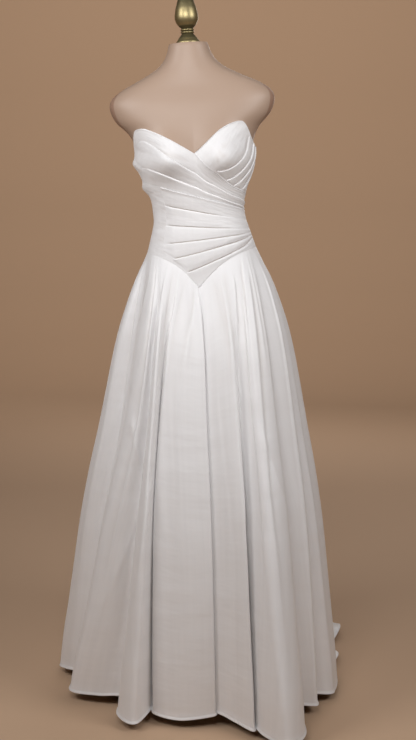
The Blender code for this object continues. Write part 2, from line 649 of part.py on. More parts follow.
def build_skirt(collection):
    satin = make_material("skirt_satin", SATIN, 0.40)
    grid = skirt_grid()
    seat_top_row(grid)
    columns = len(grid[0])
    names = [fold[0] for fold in SKIRT_FOLDS]
    for name, first, last in SKIRT_PANELS:
        start = names.index(first) * STEPS_BETWEEN_FOLDS
        end = names.index(last) * STEPS_BETWEEN_FOLDS
        if end <= start:
            end += columns
        outer, inner = [], []
        for i in range(len(grid)):
            outer_row, inner_row = [], []
            for j in range(start, end + 1):
                point = grid[i][j % columns].copy()
                along = (grid[i][(j + 1) % columns] - grid[i][(j - 1) % columns]).normalized()
                if j == start:
                    point += along * SEAM_GAP / 2
                if j == end:
                    point -= along * SEAM_GAP / 2
                normal = grid_normal(grid, i, j % columns)
                outer_row.append(point + normal * SKIRT_WALL / 2)
                inner_row.append(point - normal * SKIRT_WALL / 2)
            outer.append(outer_row)
            inner.append(inner_row)
        add_object(name, wall_mesh(name, outer, inner), satin.copy(), collection)


def underskirt_point(degrees, share, out):
    ahead, beside, behind = UNDERSKIRT_HEM
    turn = abs((degrees + 180.0) % 360.0 - 180.0)
    if turn < 90.0:
        hem = ahead + (beside - ahead) * smooth((turn - 30.0) / 60.0)
    else:
        hem = beside + (behind - beside) * smooth((turn - 90.0) / 90.0)
    top = seam_height(degrees) - UNDERSKIRT_DROP
    height = top + (UNDERSKIRT_HEM_HEIGHT - top) * share
    ease = UNDERSKIRT_EASE + UNDERSKIRT_LOOSENING * smooth(share / 0.04)
    snug = body_point(degrees, max(height, HIP_HEIGHT), CLOTH_CLEARANCE + ease + out)
    angle = math.radians(degrees)
    rim = Vector((math.sin(angle), -math.cos(angle), 0.0)) * (hem + out)
    way = max(0.0, (FLARE_HEIGHT - height) / (FLARE_HEIGHT - UNDERSKIRT_HEM_HEIGHT))
    point = snug + (rim - snug) * way
    point.z = snug.z if way == 0.0 else height
    return point


def build_underskirt(collection):
    lining = make_material("underskirt_lining", (0.80, 0.77, 0.74), 0.6)
    half = math.degrees(SEAM_GAP / 2 / 0.10)
    shares = [0.0, 0.025, 0.055, 0.10, 0.3, 0.65, 1.0]
    for name, start in (("underskirt_front", -90.0), ("underskirt_back", 90.0)):
        angles = spread_angles(start + half, start + 180.0 - half, 360.0 / UNDERSKIRT_COLUMNS)
        outer = [[underskirt_point(angle, share, UNDERSKIRT_WALL) for angle in angles] for share in shares]
        inner = [[underskirt_point(angle, share, 0.0) for angle in angles] for share in shares]
        add_object(name, wall_mesh(name, outer, inner), lining.copy(), collection)


# Zip: a small slider with two ears, and a pull that hangs between them
def box_mesh(size, centre):
    block = bmesh.new()
    bmesh.ops.create_cube(block, size=1.0)
    bmesh.ops.scale(block, vec=size, verts=block.verts)
    bmesh.ops.translate(block, vec=centre, verts=block.verts)
    mesh = bpy.data.meshes.new("block")
    block.to_mesh(mesh)
    block.free()
    return mesh


def join_blocks(name, meshes, material, collection, cutters):
    """One solid from several overlapping blocks."""
    piece = add_object(name, meshes[0], material, collection)
    for i, mesh in enumerate(meshes[1:]):
        block = bpy.data.objects.new(f"{name}_block_{i}", mesh)
        block.hide_render = True
        block.display_type = "WIRE"
        block.parent = piece
        cutters.objects.link(block)
        union = piece.modifiers.new("join", "BOOLEAN")
        union.operation = "UNION"
        union.solver = "EXACT"
        union.object = block
    return piece


def build_zip(collection, cutters):
    nickel = make_material("zip_nickel", (0.80, 0.79, 0.76), 0.30, 1.0)
    seat = body_point(180.0, SLIDER_HEIGHT, CLOTH_CLEARANCE + BODICE_WALL + SEAM_GAP)
    width, thick, tall = SLIDER_SIZE
    plate = box_mesh(SLIDER_SIZE, (0.0, thick / 2, 0.0))
    ears = [box_mesh(EAR_SIZE, (side * EAR_SPREAD, thick + EAR_SIZE[1] / 2 - 0.0002, 0.0015))
            for side in (-1, 1)]
    tilt = back_slope()
    slider = join_blocks("zip_slider", [plate] + ears, nickel.copy(), collection, cutters)
    slider.location = seat
    slider.rotation_euler = (tilt, -LEAN_ANGLE, 0.0)

    hinge = bpy.data.objects.new("zip_pull_axis", None)
    collection.objects.link(hinge)
    hinge.parent = slider
    hinge.location = (0.0, PIN_STANDOFF, 0.0015)
    barrel = bmesh.new()
    bmesh.ops.create_cone(barrel, cap_ends=True, segments=12, radius1=PIN_RADIUS, radius2=PIN_RADIUS,
                          depth=PULL_NECK[0])
    bmesh.ops.rotate(barrel, cent=(0.0, 0.0, 0.0), verts=barrel.verts,
                     matrix=Vector((0.0, 0.0, 1.0)).rotation_difference(Vector((1.0, 0.0, 0.0))).to_matrix())
    barrel_mesh = bpy.data.meshes.new("barrel")
    barrel.to_mesh(barrel_mesh)
    barrel.free()
    neck = box_mesh(PULL_NECK, (0.0, 0.0, -PULL_NECK[2] / 2))
    plate = box_mesh(PULL_PLATE, (0.0, 0.0, -PULL_NECK[2] - PULL_PLATE[2] / 2 + 0.001))
    pull = join_blocks("zip_pull", [barrel_mesh, neck, plate], nickel.copy(), collection, cutters)
    pull.parent = hinge


def back_slope():
    """Angle of the back's surface at the slider, from upright."""
    low = body_point(180.0, SLIDER_HEIGHT - 0.006, 0.0)
    high = body_point(180.0, SLIDER_HEIGHT + 0.006, 0.0)
    return -math.atan2(high.y - low.y, high.z - low.z)


clear_scene()
gown = bpy.data.collections.new("wedding_dress_on_form")
bpy.context.scene.collection.children.link(gown)
blocks = bpy.data.collections.new("cutters")
bpy.context.scene.collection.children.link(blocks)
build_form(gown)
build_bodice(gown)
build_skirt(gown)
build_underskirt(gown)
build_zip(gown, blocks)
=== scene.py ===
import math

import bpy
import numpy as np
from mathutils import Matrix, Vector


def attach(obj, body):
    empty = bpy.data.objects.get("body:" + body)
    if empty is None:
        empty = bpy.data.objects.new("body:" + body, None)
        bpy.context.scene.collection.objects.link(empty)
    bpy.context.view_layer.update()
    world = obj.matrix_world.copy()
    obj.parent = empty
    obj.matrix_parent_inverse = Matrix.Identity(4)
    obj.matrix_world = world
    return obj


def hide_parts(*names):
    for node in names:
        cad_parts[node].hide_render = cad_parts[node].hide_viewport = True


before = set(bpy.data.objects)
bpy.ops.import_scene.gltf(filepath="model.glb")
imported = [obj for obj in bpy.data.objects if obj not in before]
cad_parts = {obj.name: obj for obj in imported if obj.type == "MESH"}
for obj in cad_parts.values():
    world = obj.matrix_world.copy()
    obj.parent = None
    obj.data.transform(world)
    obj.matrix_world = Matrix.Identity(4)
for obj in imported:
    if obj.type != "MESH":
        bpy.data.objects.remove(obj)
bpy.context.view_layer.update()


# The stand: a turned steel plate on the floor with a steel tube screwed upright into its middle, both in
# one coat of warm grey enamel. The long skirt hides them.
gown_body = "gown_and_form"


class Socket:
    """One output of a node. A sum written with it adds the Math nodes."""

    def __init__(self, finish, link):
        self.finish = finish
        self.link = link

    def sum(self, operation, first, second=None):
        sockets = {0: first} if second is None else {0: first, 1: second}
        return self.finish.node("ShaderNodeMath", {"operation": operation}, sockets)

    def __add__(self, other):
        return self.sum("ADD", self, other)

    def __sub__(self, other):
        return self.sum("SUBTRACT", self, other)

    def __mul__(self, other):
        return self.sum("MULTIPLY", self, other)

    def __radd__(self, other):
        return self.sum("ADD", other, self)

    def __rsub__(self, other):
        return self.sum("SUBTRACT", other, self)

    def __rmul__(self, other):
        return self.sum("MULTIPLY", other, self)

    def sine(self):
        return self.sum("SINE", self)


class Nodes:
    """A tree of nodes, and one way to add to it."""

    def __init__(self, tree):
        self.tree = tree

    def node(self, kind, settings=None, sockets=None, output=0):
        made = self.tree.nodes.new(kind)
        for key, value in (settings or {}).items():
            if key == "stops":
                for stop, (place, colour) in zip(made.color_ramp.elements, value):
                    stop.position = place
                    stop.color = colour
            else:
                setattr(made, key, value)
        for key, value in (sockets or {}).items():
            self.give(made.inputs[key], value)
        return Socket(self, made.outputs[output])

    def give(self, socket, value):
        if isinstance(value, Socket):
            self.tree.links.new(value.link, socket)
        else:
            socket.default_value = value


class Finish(Nodes):
    """A material and the nodes that make it."""

    def __init__(self, name):
        self.material = bpy.data.materials.new(name)
        self.material.use_nodes = True
        super().__init__(self.material.node_tree)
        self.shader = self.tree.nodes["Principled BSDF"]

    def place(self):
        return self.node("ShaderNodeTexCoord", output="Object")

    def stretched(self, place, scale):
        return self.node("ShaderNodeMapping", {}, {"Vector": place, "Scale": scale})

    def carried(self, name):
        """A value that the mesh carries at its points."""
        return self.node("ShaderNodeAttribute", {"attribute_name": name}, output="Fac")

    def noise(self, place, scale, detail=3.0, roughness=0.5):
        sockets = {"Vector": place, "Scale": scale, "Detail": detail, "Roughness": roughness}
        return self.node("ShaderNodeTexNoise", {}, sockets)

    def mask(self, share, start, end):
        """0 up to the start, 1 from the end on."""
        stops = ((start, (0.0, 0.0, 0.0, 1.0)), (end, (1.0, 1.0, 1.0, 1.0)))
        return self.node("ShaderNodeValToRGB", {"stops": stops}, {"Fac": share})

    def mix(self, share, first, second):
        return self.node("ShaderNodeMix", {"data_type": "RGBA"}, {0: share, 6: first, 7: second}, output=2)

    def bump(self, height, strength, distance, under=None):
        sockets = {"Height": height, "Strength": strength, "Distance": distance}
        if under is not None:
            sockets["Normal"] = under
        return self.node("ShaderNodeBump", {}, sockets)

    def set(self, **values):
        for key, value in values.items():
            self.give(self.shader.inputs[key.replace("_", " ")], value)
        return self.material


def enamel():
    finish = Finish("stand_enamel")
    place = finish.place()
    cloud = finish.noise(place, 9.0, 4.0, 0.6)
    scuffs = finish.mask(finish.noise(place, 70.0, 5.0, 0.7), 0.62, 0.72)
    grey = finish.mix(cloud, (0.075, 0.070, 0.066, 1.0), (0.105, 0.099, 0.094, 1.0))
    colour = finish.mix(scuffs, grey, (0.19, 0.18, 0.17, 1.0))
    peel = finish.bump(finish.noise(place, 700.0, 2.0), 0.12, 0.0004)
    finish.set(Base_Color=colour, Roughness=0.34 + 0.14 * cloud, Normal=peel)
    return finish.set(Metallic=0.2, Coat_Weight=0.25)


stand_paint = enamel()
for node in ("stand_base", "stand_pole"):
    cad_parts[node].material_slots[0].material = stand_paint


# The padded torso of the dress form: a moulded shell under a smooth, stretched, blush coloured jersey, sewn
# closed over flat arm plates, with the neck cut level for its cap. The bodice takes its shape from it.

# Level sections: height, half width, depth to the front, depth to the back
torso_sections = np.array((
    (0.900, 0.126, 0.084, 0.092), (0.960, 0.132, 0.090, 0.097), (1.020, 0.134, 0.095, 0.100),
    (1.060, 0.129, 0.096, 0.096), (1.105, 0.116, 0.091, 0.086), (1.150, 0.1035, 0.083, 0.078),
    (1.175, 0.1015, 0.082, 0.078), (1.215, 0.111, 0.086, 0.083), (1.250, 0.125, 0.092, 0.089),
    (1.285, 0.135, 0.097, 0.093), (1.325, 0.138, 0.095, 0.094), (1.355, 0.152, 0.090, 0.092),
    (1.385, 0.180, 0.083, 0.089), (1.415, 0.192, 0.075, 0.084), (1.435, 0.187, 0.068, 0.078),
    (1.455, 0.162, 0.061, 0.071), (1.475, 0.121, 0.056, 0.065), (1.495, 0.083, 0.052, 0.060),
    (1.513, 0.062, 0.049, 0.055), (1.535, 0.050, 0.045, 0.050), (1.553, 0.045, 0.042, 0.046),
))
torso_bottom = 0.900
neck_top = 1.553
section_power = 2.2
bust_spread, bust_height, bust_depth = 0.066, 1.285, 0.030
# Half sizes of a bust's swell: sideways, below its middle, above it
bust_side, bust_under, bust_over = 0.045, 0.035, 0.055
lean_angle = math.radians(3.7)
lean_height = 1.06


def smooth(share):
    share = np.clip(share, 0.0, 1.0)
    return share * share * (3.0 - 2.0 * share)


def read_table(table, column, at):
    """A column's value where the first column is `at`, on a smooth curve through the rows."""
    keys, values = np.asarray(table, float)[:, 0], np.asarray(table, float)[:, column]
    before, after = np.r_[0, 0:len(keys) - 1], np.r_[1:len(keys), len(keys) - 1]
    slope = (values[after] - values[before]) / (keys[after] - keys[before])
    at = np.clip(at, keys[0], keys[-1])
    low = np.clip(np.searchsorted(keys, at, side="right") - 1, 0, len(keys) - 2)
    span = keys[low + 1] - keys[low]
    t = (at - keys[low]) / span
    start = (2 * t ** 3 - 3 * t ** 2 + 1) * values[low] + (t ** 3 - 2 * t ** 2 + t) * span * slope[low]
    end = (3 * t ** 2 - 2 * t ** 3) * values[low + 1] + (t ** 3 - t ** 2) * span * slope[low + 1]
    return start + end


def on_torso(degrees, height, out=0.0):
    """Points at `out` from the torso's surface. Above the hip the torso leans to its own right."""
    degrees, height, out = np.broadcast_arrays(np.asarray(degrees, float), height, out)
    angle = np.radians(degrees)
    side, ahead = np.sin(angle), np.cos(angle)
    half_width = read_table(torso_sections, 1, height) + out
    front, back = read_table(torso_sections, 2, height), read_table(torso_sections, 3, height)
    depth = np.where(ahead > 0, front, back) + out
    radius = (np.abs(side) / half_width) ** section_power + (np.abs(ahead) / depth) ** section_power
    radius = radius ** (-1 / section_power)
    x, y = radius * side, -radius * ahead
    reach = np.where(height < bust_height, bust_under, bust_over)
    swell = np.exp(-((np.abs(x) - bust_spread) / bust_side) ** 2 - ((height - bust_height) / reach) ** 2)
    y = y - smooth(ahead / 0.5) * bust_depth * swell
    turn = lean_angle * smooth((height - lean_height + 0.08) / 0.14)
    up = height - lean_height
    return np.stack((x * np.cos(turn) - up * np.sin(turn), y,
                     lean_height + up * np.cos(turn) + x * np.sin(turn)), axis=-1)


def make_mesh(name, points, faces, uvs=None, sharp=50.0):
    mesh = bpy.data.meshes.new(name)
    mesh.from_pydata(np.asarray(points).tolist(), [], faces if isinstance(faces, list) else faces.tolist())
    if uvs is not None:
        layer = mesh.uv_layers.new(name="cloth")
        corners = np.zeros(len(mesh.loops), int)
        mesh.loops.foreach_get("vertex_index", corners)
        layer.data.foreach_set("uv", np.asarray(uvs, np.float32)[corners].ravel())
    mesh.shade_smooth()
    mesh.set_sharp_from_angle(angle=math.radians(sharp))
    return mesh


def add_piece(name, mesh, material, node):
    """A finished piece in its place, riding on the gown's body."""
    piece = bpy.data.objects.new(name, mesh)
    bpy.context.scene.collection.objects.link(piece)
    mesh.materials.append(material)
    if node:
        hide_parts(node)
    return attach(piece, gown_body)


def ring_faces(rows, columns):
    """Faces of a tube of points whose rows run from the top down and whose columns go round to the right."""
    i, j = np.meshgrid(np.arange(rows - 1), np.arange(columns), indexing="ij")
    low, right = (i + 1) * columns, (j + 1) % columns
    return np.stack((i * columns + j, low + j, low + right, i * columns + right), -1).reshape(-1, 4)


def closed_tube(name, rings, sharp):
    """A skin over rings of points from the top down, closed flat at both ends."""
    rows, columns = rings.shape[:2]
    last = (rows - 1) * columns
    ends = [list(range(columns)), list(range(last, last + columns))[::-1]]
    faces = ring_faces(rows, columns).tolist() + ends
    return make_mesh(name, rings.reshape(-1, 3), faces, sharp=sharp)


def carry(mesh, name, values):
    """Gives the mesh a value at each point, for its material."""
    layer = mesh.attributes.new(name, "FLOAT", "POINT")
    layer.data.foreach_set("value", np.asarray(values, np.float32).ravel())
    return mesh


def jersey():
    finish = Finish("form_cover_jersey")
    place = finish.place()
    patches = finish.noise(place, 6.0, 3.0, 0.55)
    dust = finish.noise(place, 85.0, 4.0, 0.6)
    plate = finish.mask(finish.carried("arm_plate"), 0.0, 0.05)
    blush = finish.mix(patches, (0.405, 0.283, 0.208, 1.0), (0.460, 0.331, 0.250, 1.0))
    colour = finish.mix(0.10 * dust, blush, (0.40, 0.30, 0.25, 1.0))
    colour = finish.mix(0.60 * plate, colour, (0.28, 0.150, 0.100, 1.0))
    knit = finish.bump(finish.noise(place, 1100.0, 2.0, 0.6), 0.18, 0.0004)
    finish.set(Base_Color=colour, Roughness=0.40 + 0.10 * dust, Normal=knit)
    return finish.set(Specular_IOR_Level=0.55)


# The arm plates are ovals: height of the middle, half the height, half the width in degrees
plate_middle, plate_half_height, plate_half_angle = 1.395, 0.072, 10.0
angles = np.arange(160) * 2.25
levels = np.linspace(neck_top, torso_bottom + 0.004, 132)[1:]
# Neck and lower edge are rounded: the first two and the last two rings lie inside the section there
rings = [on_torso(angles, neck_top, -0.004), on_torso(angles, neck_top, -0.0012) - (0.0, 0.0, 0.0002)]
rings += [on_torso(angles, level) for level in levels]
rings += [on_torso(angles, torso_bottom + 0.001, -0.002), on_torso(angles, torso_bottom, -0.006)]
heights = np.concatenate(((neck_top, neck_top), levels, (torso_bottom, torso_bottom)))[:, None]
from_side = np.minimum(np.abs(angles - 90.0), np.abs(angles - 270.0))
plates = 1.0 - np.hypot(from_side / plate_half_angle, (heights - plate_middle) / plate_half_height)
cover = carry(closed_tube("torso_cover", np.array(rings), 50.0), "arm_plate", plates)
add_piece("torso_cover", cover, jersey(), "form_torso")


# The finial: a brass cap turned in one piece with its flange, two rings and a long drop, lacquered to look
# old and worn bright on the rings and the widest part. It is screwed down on the level neck.
# Its outline: radius and height over the neck
finial_profile = (
    (0.0275, 0.0003), (0.0280, 0.0016), (0.0276, 0.0036), (0.0262, 0.0056), (0.0236, 0.0086),
    (0.0202, 0.0136), (0.0168, 0.0176), (0.0144, 0.0204), (0.0130, 0.0219), (0.0136, 0.0226),
    (0.0154, 0.0234), (0.0160, 0.0248), (0.0154, 0.0261), (0.0138, 0.0269), (0.0134, 0.0276),
    (0.0142, 0.0284), (0.0156, 0.0292), (0.0161, 0.0304), (0.0155, 0.0317), (0.0138, 0.0326),
    (0.0131, 0.0333), (0.0140, 0.0346), (0.0178, 0.0378), (0.0222, 0.0428), (0.0256, 0.0490),
    (0.0273, 0.0560), (0.0272, 0.0630), (0.0258, 0.0715), (0.0232, 0.0812), (0.0204, 0.0900),
    (0.0176, 0.0992), (0.0152, 0.1080), (0.0131, 0.1166), (0.0114, 0.1250), (0.0100, 0.1336),
    (0.0088, 0.1408), (0.0074, 0.1464), (0.0052, 0.1504), (0.0026, 0.1524),
)
ridge_bend = 0.0008
ridge_radius = 0.08


def antique_brass():
    finish = Finish("antique_brass")
    place = finish.place()
    cloud = finish.noise(place, 55.0, 5.0, 0.65)
    worn = finish.mask(finish.carried("ridge") + 0.5 * cloud, 0.45, 1.0)
    colour = finish.mix(worn, (0.120, 0.100, 0.048, 1.0), (0.40, 0.33, 0.17, 1.0))
    pits = finish.bump(finish.noise(place, 420.0, 3.0, 0.6), 0.18, 0.0005)
    finish.set(Base_Color=colour, Roughness=0.58 - 0.16 * worn, Normal=pits)
    return finish.set(Metallic=0.70 + 0.2 * worn)


profile = np.array(finial_profile)[::-1]
turn = np.linspace(0.0, 2 * math.pi, 72, endpoint=False)
radius, up = profile[:, :1], profile[:, 1:] + neck_top - lean_height
side, ahead = radius * np.sin(turn), radius * np.cos(turn)
rings = np.stack((side * math.cos(lean_angle) - up * math.sin(lean_angle), -ahead,
                  lean_height + up * math.cos(lean_angle) + side * math.sin(lean_angle)), -1)
bend = np.zeros(len(profile))
bend[1:-1] = profile[1:-1, 0] - (profile[:-2, 0] + profile[2:, 0]) / 2
ridges = np.clip(bend / ridge_bend + profile[:, 0] / ridge_radius, 0.0, 1.0)
finial = carry(closed_tube("finial", rings, 60.0), "ridge", np.repeat(ridges, len(turn)))
add_piece("finial", finial, antique_brass(), "form_finial")


# The bodice's midriff: satin laid in a fan of flat pleats, each edge facing up, tacked to a boned lining and
# cut off on the pointed waist seam. On its right it starts from a plain side-front panel.
satin_wall = 0.0025
warp_pitch, weft_pitch = 0.00042, 0.00055
cloth_clearance = 0.0016
seam_gap = 0.0003
side_seam = 94.0
side_strip = -50.0
dip_angle = -1.0
point_angle, point_height, seam_rise, seam_spread = -4.0, 0.995, 0.088, 42.0
underbust_line = ((-94.0, 1.247), (-78.0, 1.243), (-47.0, 1.228), (-30.0, 1.218), (3.0, 1.201), (25.0, 1.190),
                  (59.0, 1.173), (78.0, 1.166), (94.0, 1.162))
# Pleats: height under the middle of the front, rise for each degree to the right, where each begins and
# fades out, how far its edge stands proud, how deep the groove over it is
midriff_pleats = (
    (1.168, -0.00037, -52.0, 48.0, 0.0026, 0.0026),
    (1.133, -0.00017, -50.0, 60.0, 0.0024, 0.0025),
    (1.104, 0.00010, -48.0, 84.0, 0.0026, 0.0024),
    (1.077, 0.00037, -42.0, 88.0, 0.0026, 0.0024),
    (1.044, 0.00070, -24.0, 88.0, 0.0024, 0.0025),
)
# Loose gathers at the side seam: height, how far they stand out, half their height
side_gathers = ((1.286, 0.0088, 0.015), (1.228, 0.0095, 0.012), (1.172, 0.0035, 0.018))
gather_reach = 38.0
# A turned top edge: how far down, share of its height
turned_edge = ((0.0, 0.35), (0.0007, 1.0), (0.0022, 1.0), (0.0040, 0.5))
# A pleat's edge: how far under its line, share of the groove's depth, share of the lip's height
pleat_edge = ((-0.0020, -0.30, 0.0), (-0.0012, -0.95, 0.0), (-0.0003, -1.0, 0.0), (0.0003, 0.0, 0.15),
              (0.0010, 0.0, 0.62), (0.0020, 0.0, 0.92), (0.0034, 0.0, 1.0))
# The least height that a pleat keeps over the next one, and the height over which it fades out there
pleat_drop, pleat_fade = 0.0068, 0.006
# A fold this deep gets the full shade painted into the satin's colour
painted_shade_depth = 0.0026
# Half of a seam's gap, as degrees round the form
form_radius = 0.10
half = math.degrees(seam_gap / 2 / form_radius)
waist_lift = 0.0001


def gather(degrees, height):
    near = smooth(1.0 - (degrees + side_seam) / gather_reach)
    return near * sum(out * np.exp(-((height - middle) / size) ** 2) for middle, out, size in side_gathers)


def seam_height(degrees):
    turn = (np.asarray(degrees) - point_angle + 180.0) % 360.0 - 180.0
    return point_height + seam_rise * np.tanh(np.abs(turn) / seam_spread)


def spread(start, end, step):
    return np.linspace(start, end, max(2, round((end - start) / step) + 1))


def pleat_rows(top, bottom, pleats, turned, held, between):
    """Heights down one column, and how far the cloth stands up there. Each pleat has the height of its line,
    its lip and its groove. `turned` is the top edge's height, `held` the last lip's share at the bottom and
    `between` how many rows lie between two edges."""
    rows = [(top - down, share * turned) for down, share in turned_edge]
    for i, (line, lip, groove) in enumerate(pleats):
        above, lift = rows[-1]
        lowest = bottom + pleat_drop * (len(pleats) - i)
        height = min(max(line, lowest), above - pleat_edge[-1][0])
        there = float(smooth((line - lowest) / pleat_fade + 0.5))
        edge = [(height - down, (sunk * groove + raised * lip) * there) for down, sunk, raised in pleat_edge]
        for s in np.linspace(0.0, 1.0, between + 2)[1:-1]:
            rows.append((above + (edge[0][0] - above) * s, lift * (1.0 - s ** 1.7) + edge[0][1] * s ** 3))
        rows += edge
    above, lift = rows[-1]
    rows += [(above + (bottom + 0.0012 - above) * s, lift * (1.0 - (1.0 - held) * s))
             for s in np.linspace(0.0, 1.0, 8)[1:]]
    rows += [(bottom + 0.0004, 0.65 * held * lift), (bottom, -0.0001)]
    return np.array(rows)


def cloth_uv(grid):
    """Width across from the middle column and length down it, in metres, as the cloth was cut."""
    across = np.linalg.norm(np.diff(grid, axis=1), axis=2).cumsum(axis=1)
    across = np.concatenate((np.zeros((len(grid), 1)), across), axis=1)
    middle = grid.shape[1] // 2
    across -= across[:, middle:middle + 1]
    down = np.linalg.norm(np.diff(grid[:, middle], axis=0), axis=1).cumsum()
    down = np.concatenate(((0.0,), down))
    return np.stack((across, np.broadcast_to(-down[:, None], across.shape)), axis=-1)


def wall(name, outer, inner, sunk=0.0):
    """A closed wall of cloth between two grids of points, rows from the top down, columns to the right. It
    carries how deep in a fold each point lies, from 0 to 1, for the shade painted into the cloth's colour."""
    rows, columns = outer.shape[:2]
    far = rows * columns
    places = np.arange(far).reshape(rows, columns)
    face = np.stack((places[:-1, :-1], places[1:, :-1], places[1:, 1:], places[:-1, 1:]), -1).reshape(-1, 4)
    rim = np.concatenate((places[0, :-1], places[:-1, -1], places[-1, :0:-1], places[:0:-1, 0]))
    beside = np.roll(rim, -1)
    faces = np.concatenate((face, face[:, ::-1] + far, np.stack((rim, beside, beside + far, rim + far), -1)))
    points = np.concatenate((outer.reshape(-1, 3), inner.reshape(-1, 3)))
    uv = cloth_uv(outer).reshape(-1, 2)
    mesh = make_mesh(name, points, faces, np.concatenate((uv, uv)))
    return carry(mesh, "fold_shade", np.clip(np.broadcast_to(sunk, (2, rows, columns)), 0.0, 1.0))


def satin(name, shine, slack, ripple, painted_shade_strength):
    """Heavy duchess satin: a soft, even sheen, warp threads too fine to see, faint uneven crossways yarns,
    lengthwise sheen lines painted into its colour, shallow ripples, and shade painted into its colour deep in
    the folds. `shine` is its roughness, `slack` how often it ripples across and down, `ripple` how strongly,
    and `painted_shade_strength` how dark the painted shade in the folds is."""
    finish = Finish(name)
    uv = finish.node("ShaderNodeUVMap", {"uv_map": "cloth"})
    across, down = (finish.node("ShaderNodeSeparateXYZ", {}, {"Vector": uv}, output=axis) for axis in "XY")
    warp = (across * (2 * math.pi / warp_pitch)).sine()
    weft = (down * (2 * math.pi / weft_pitch)).sine()
    slubs = finish.noise(finish.stretched(uv, (18.0, 420.0, 1.0)), 1.0, 3.0, 0.55)
    # Lengthwise streaks: sheen lines painted into the colour as a lighter white, with the satin also rougher
    # along them.
    sheen_streaks = finish.noise(finish.stretched(uv, (75.0, 2.2, 1.0)), 1.0, 3.0, 0.6)
    white = finish.mix(sheen_streaks, (0.800, 0.792, 0.796, 1.0), (0.875, 0.870, 0.874, 1.0))
    colour = finish.mix(0.05 * slubs, white, (0.72, 0.705, 0.70, 1.0))
    # Painted shade: deep in the folds the colour turns to a warm grey, as far as the mesh's fold_shade says.
    colour = finish.mix(painted_shade_strength * finish.carried("fold_shade"), colour, (0.46, 0.395, 0.34, 1.0))
    weave = finish.bump(0.7 * warp + 0.3 * weft, 0.02, 0.0001)
    loose = finish.noise(finish.stretched(uv, (*slack, 1.0)), 1.0, 3.0, 0.5)
    ripples = finish.bump(loose, ripple, 0.006, weave)
    surface = finish.bump(slubs, 0.04, 0.0006, ripples)
    finish.set(Base_Color=colour, Roughness=shine - 0.10 + 0.16 * sheen_streaks + 0.08 * slubs, Normal=surface)
    return finish.set(Sheen_Weight=0.45, Sheen_Roughness=0.45, Specular_IOR_Level=0.42)


def both_sides(degrees, heights, lifts):
    """The outer and the inner face of the bodice where its satin is lifted by so much."""
    return (on_torso(degrees, heights, cloth_clearance + satin_wall + lifts),
            on_torso(degrees, heights, cloth_clearance + np.minimum(lifts, 0.0) * 0.5))


def laid_on(name, node, angles, stack):
    """A panel of the bodice, laid on the torso from its columns of pleats."""
    heights, lifts = np.transpose([stack(angle) for angle in angles])
    # The deeper the cloth sinks into a groove, the more shade is painted into its colour
    mesh = wall(name, *both_sides(angles, heights, lifts), -lifts / painted_shade_depth)
    piece = add_piece(name, mesh, bodice_satin, node)


bodice_satin = satin("bodice_satin", 0.50, (12.0, 58.0), 0.42, 0.80)


def midriff(degrees):
    top = float(read_table(underbust_line, 1, degrees)) - seam_gap / 2
    bottom = float(seam_height(degrees)) + waist_lift
    pleats = []
    for height, rise, start, end, lip, groove in midriff_pleats:
        strength = float(smooth((degrees - start) / 12.0) * smooth((end - degrees) / 40.0))
        pleats.append((height + rise * degrees, lip * (0.25 + 0.75 * strength), groove * strength))
    return pleat_rows(top, bottom, pleats, turned=0.0021, held=0.45, between=7)


def plain_strip(degrees):
    top = float(read_table(underbust_line, 1, degrees)) - seam_gap / 2
    bottom = float(seam_height(degrees)) + waist_lift
    levels = np.linspace(top, bottom, 26)
    share = (top - levels) / (top - bottom)
    pucker = 0.0007 * np.sin(share * 31.0 + degrees * 0.11) * smooth((degrees + 78.0) / 26.0)
    return np.stack((levels, pucker * np.sin(share * math.pi) + gather(degrees, levels)), -1)


laid_on("midriff_pleats", "bodice_midriff_front", spread(side_strip + half, side_seam - half, 1.6), midriff)
laid_on("side_front_right", "bodice_side_left", spread(-side_seam + half, side_strip - half, 1.8),
        plain_strip)


# The wearer's right drape, on the left in front view: one bias piece that starts at the side seam in loose
# gathers, crosses the bust in long flat pleats and is caught into the other side seam. Its top edge is
# turned.
neckline_left = ((-180.0, 1.285), (-125.0, 1.290), (-95.0, 1.305), (-78.0, 1.334), (-71.0, 1.352),
                 (-67.0, 1.3615), (-60.0, 1.3645), (-54.0, 1.3595), (-44.0, 1.349), (-30.0, 1.334),
                 (-15.0, 1.317), (-1.0, 1.301))
neckline_right = ((-1.0, 1.301), (11.0, 1.317), (23.0, 1.335), (36.0, 1.353), (44.0, 1.361), (52.0, 1.3670),
                  (57.0, 1.3675), (60.0, 1.3620), (65.0, 1.347), (70.0, 1.332), (78.0, 1.316), (95.0, 1.302),
                  (125.0, 1.290), (180.0, 1.285))
crossing_edge = ((-1.0, 1.301), (11.0, 1.273), (28.0, 1.248), (42.0, 1.227), (52.0, 1.217), (78.0, 1.203),
                 (94.0, 1.197))
# Pleats: shares of the way down from the top edge at the left side, in the middle and at the right side, how
# far the edge stands proud, how deep the groove over it is
drape_pleats = ((0.21, 0.45, 0.41, 0.0028, 0.0007), (0.70, 0.78, 0.79, 0.0032, 0.0009))
# Soft folds: from and to which angle and height, how far it sinks or rises, half its width
drape_folds = (
    (-88.0, 1.309, -60.0, 1.262, -0.0019, 0.0060), (-84.0, 1.290, -52.0, 1.252, 0.0012, 0.0055),
    (-66.0, 1.249, -30.0, 1.236, -0.0010, 0.0080), (-80.0, 1.326, -48.0, 1.300, -0.0010, 0.0050),
    (-50.0, 1.318, -12.0, 1.282, -0.0009, 0.0050), (-40.0, 1.296, -4.0, 1.262, 0.0009, 0.0050),
    (-60.0, 1.340, -26.0, 1.310, -0.0008, 0.0040), (-34.0, 1.312, -2.0, 1.276, -0.0008, 0.0040),
)
# One degree round the bust, as a length
cup_degree = 0.00227


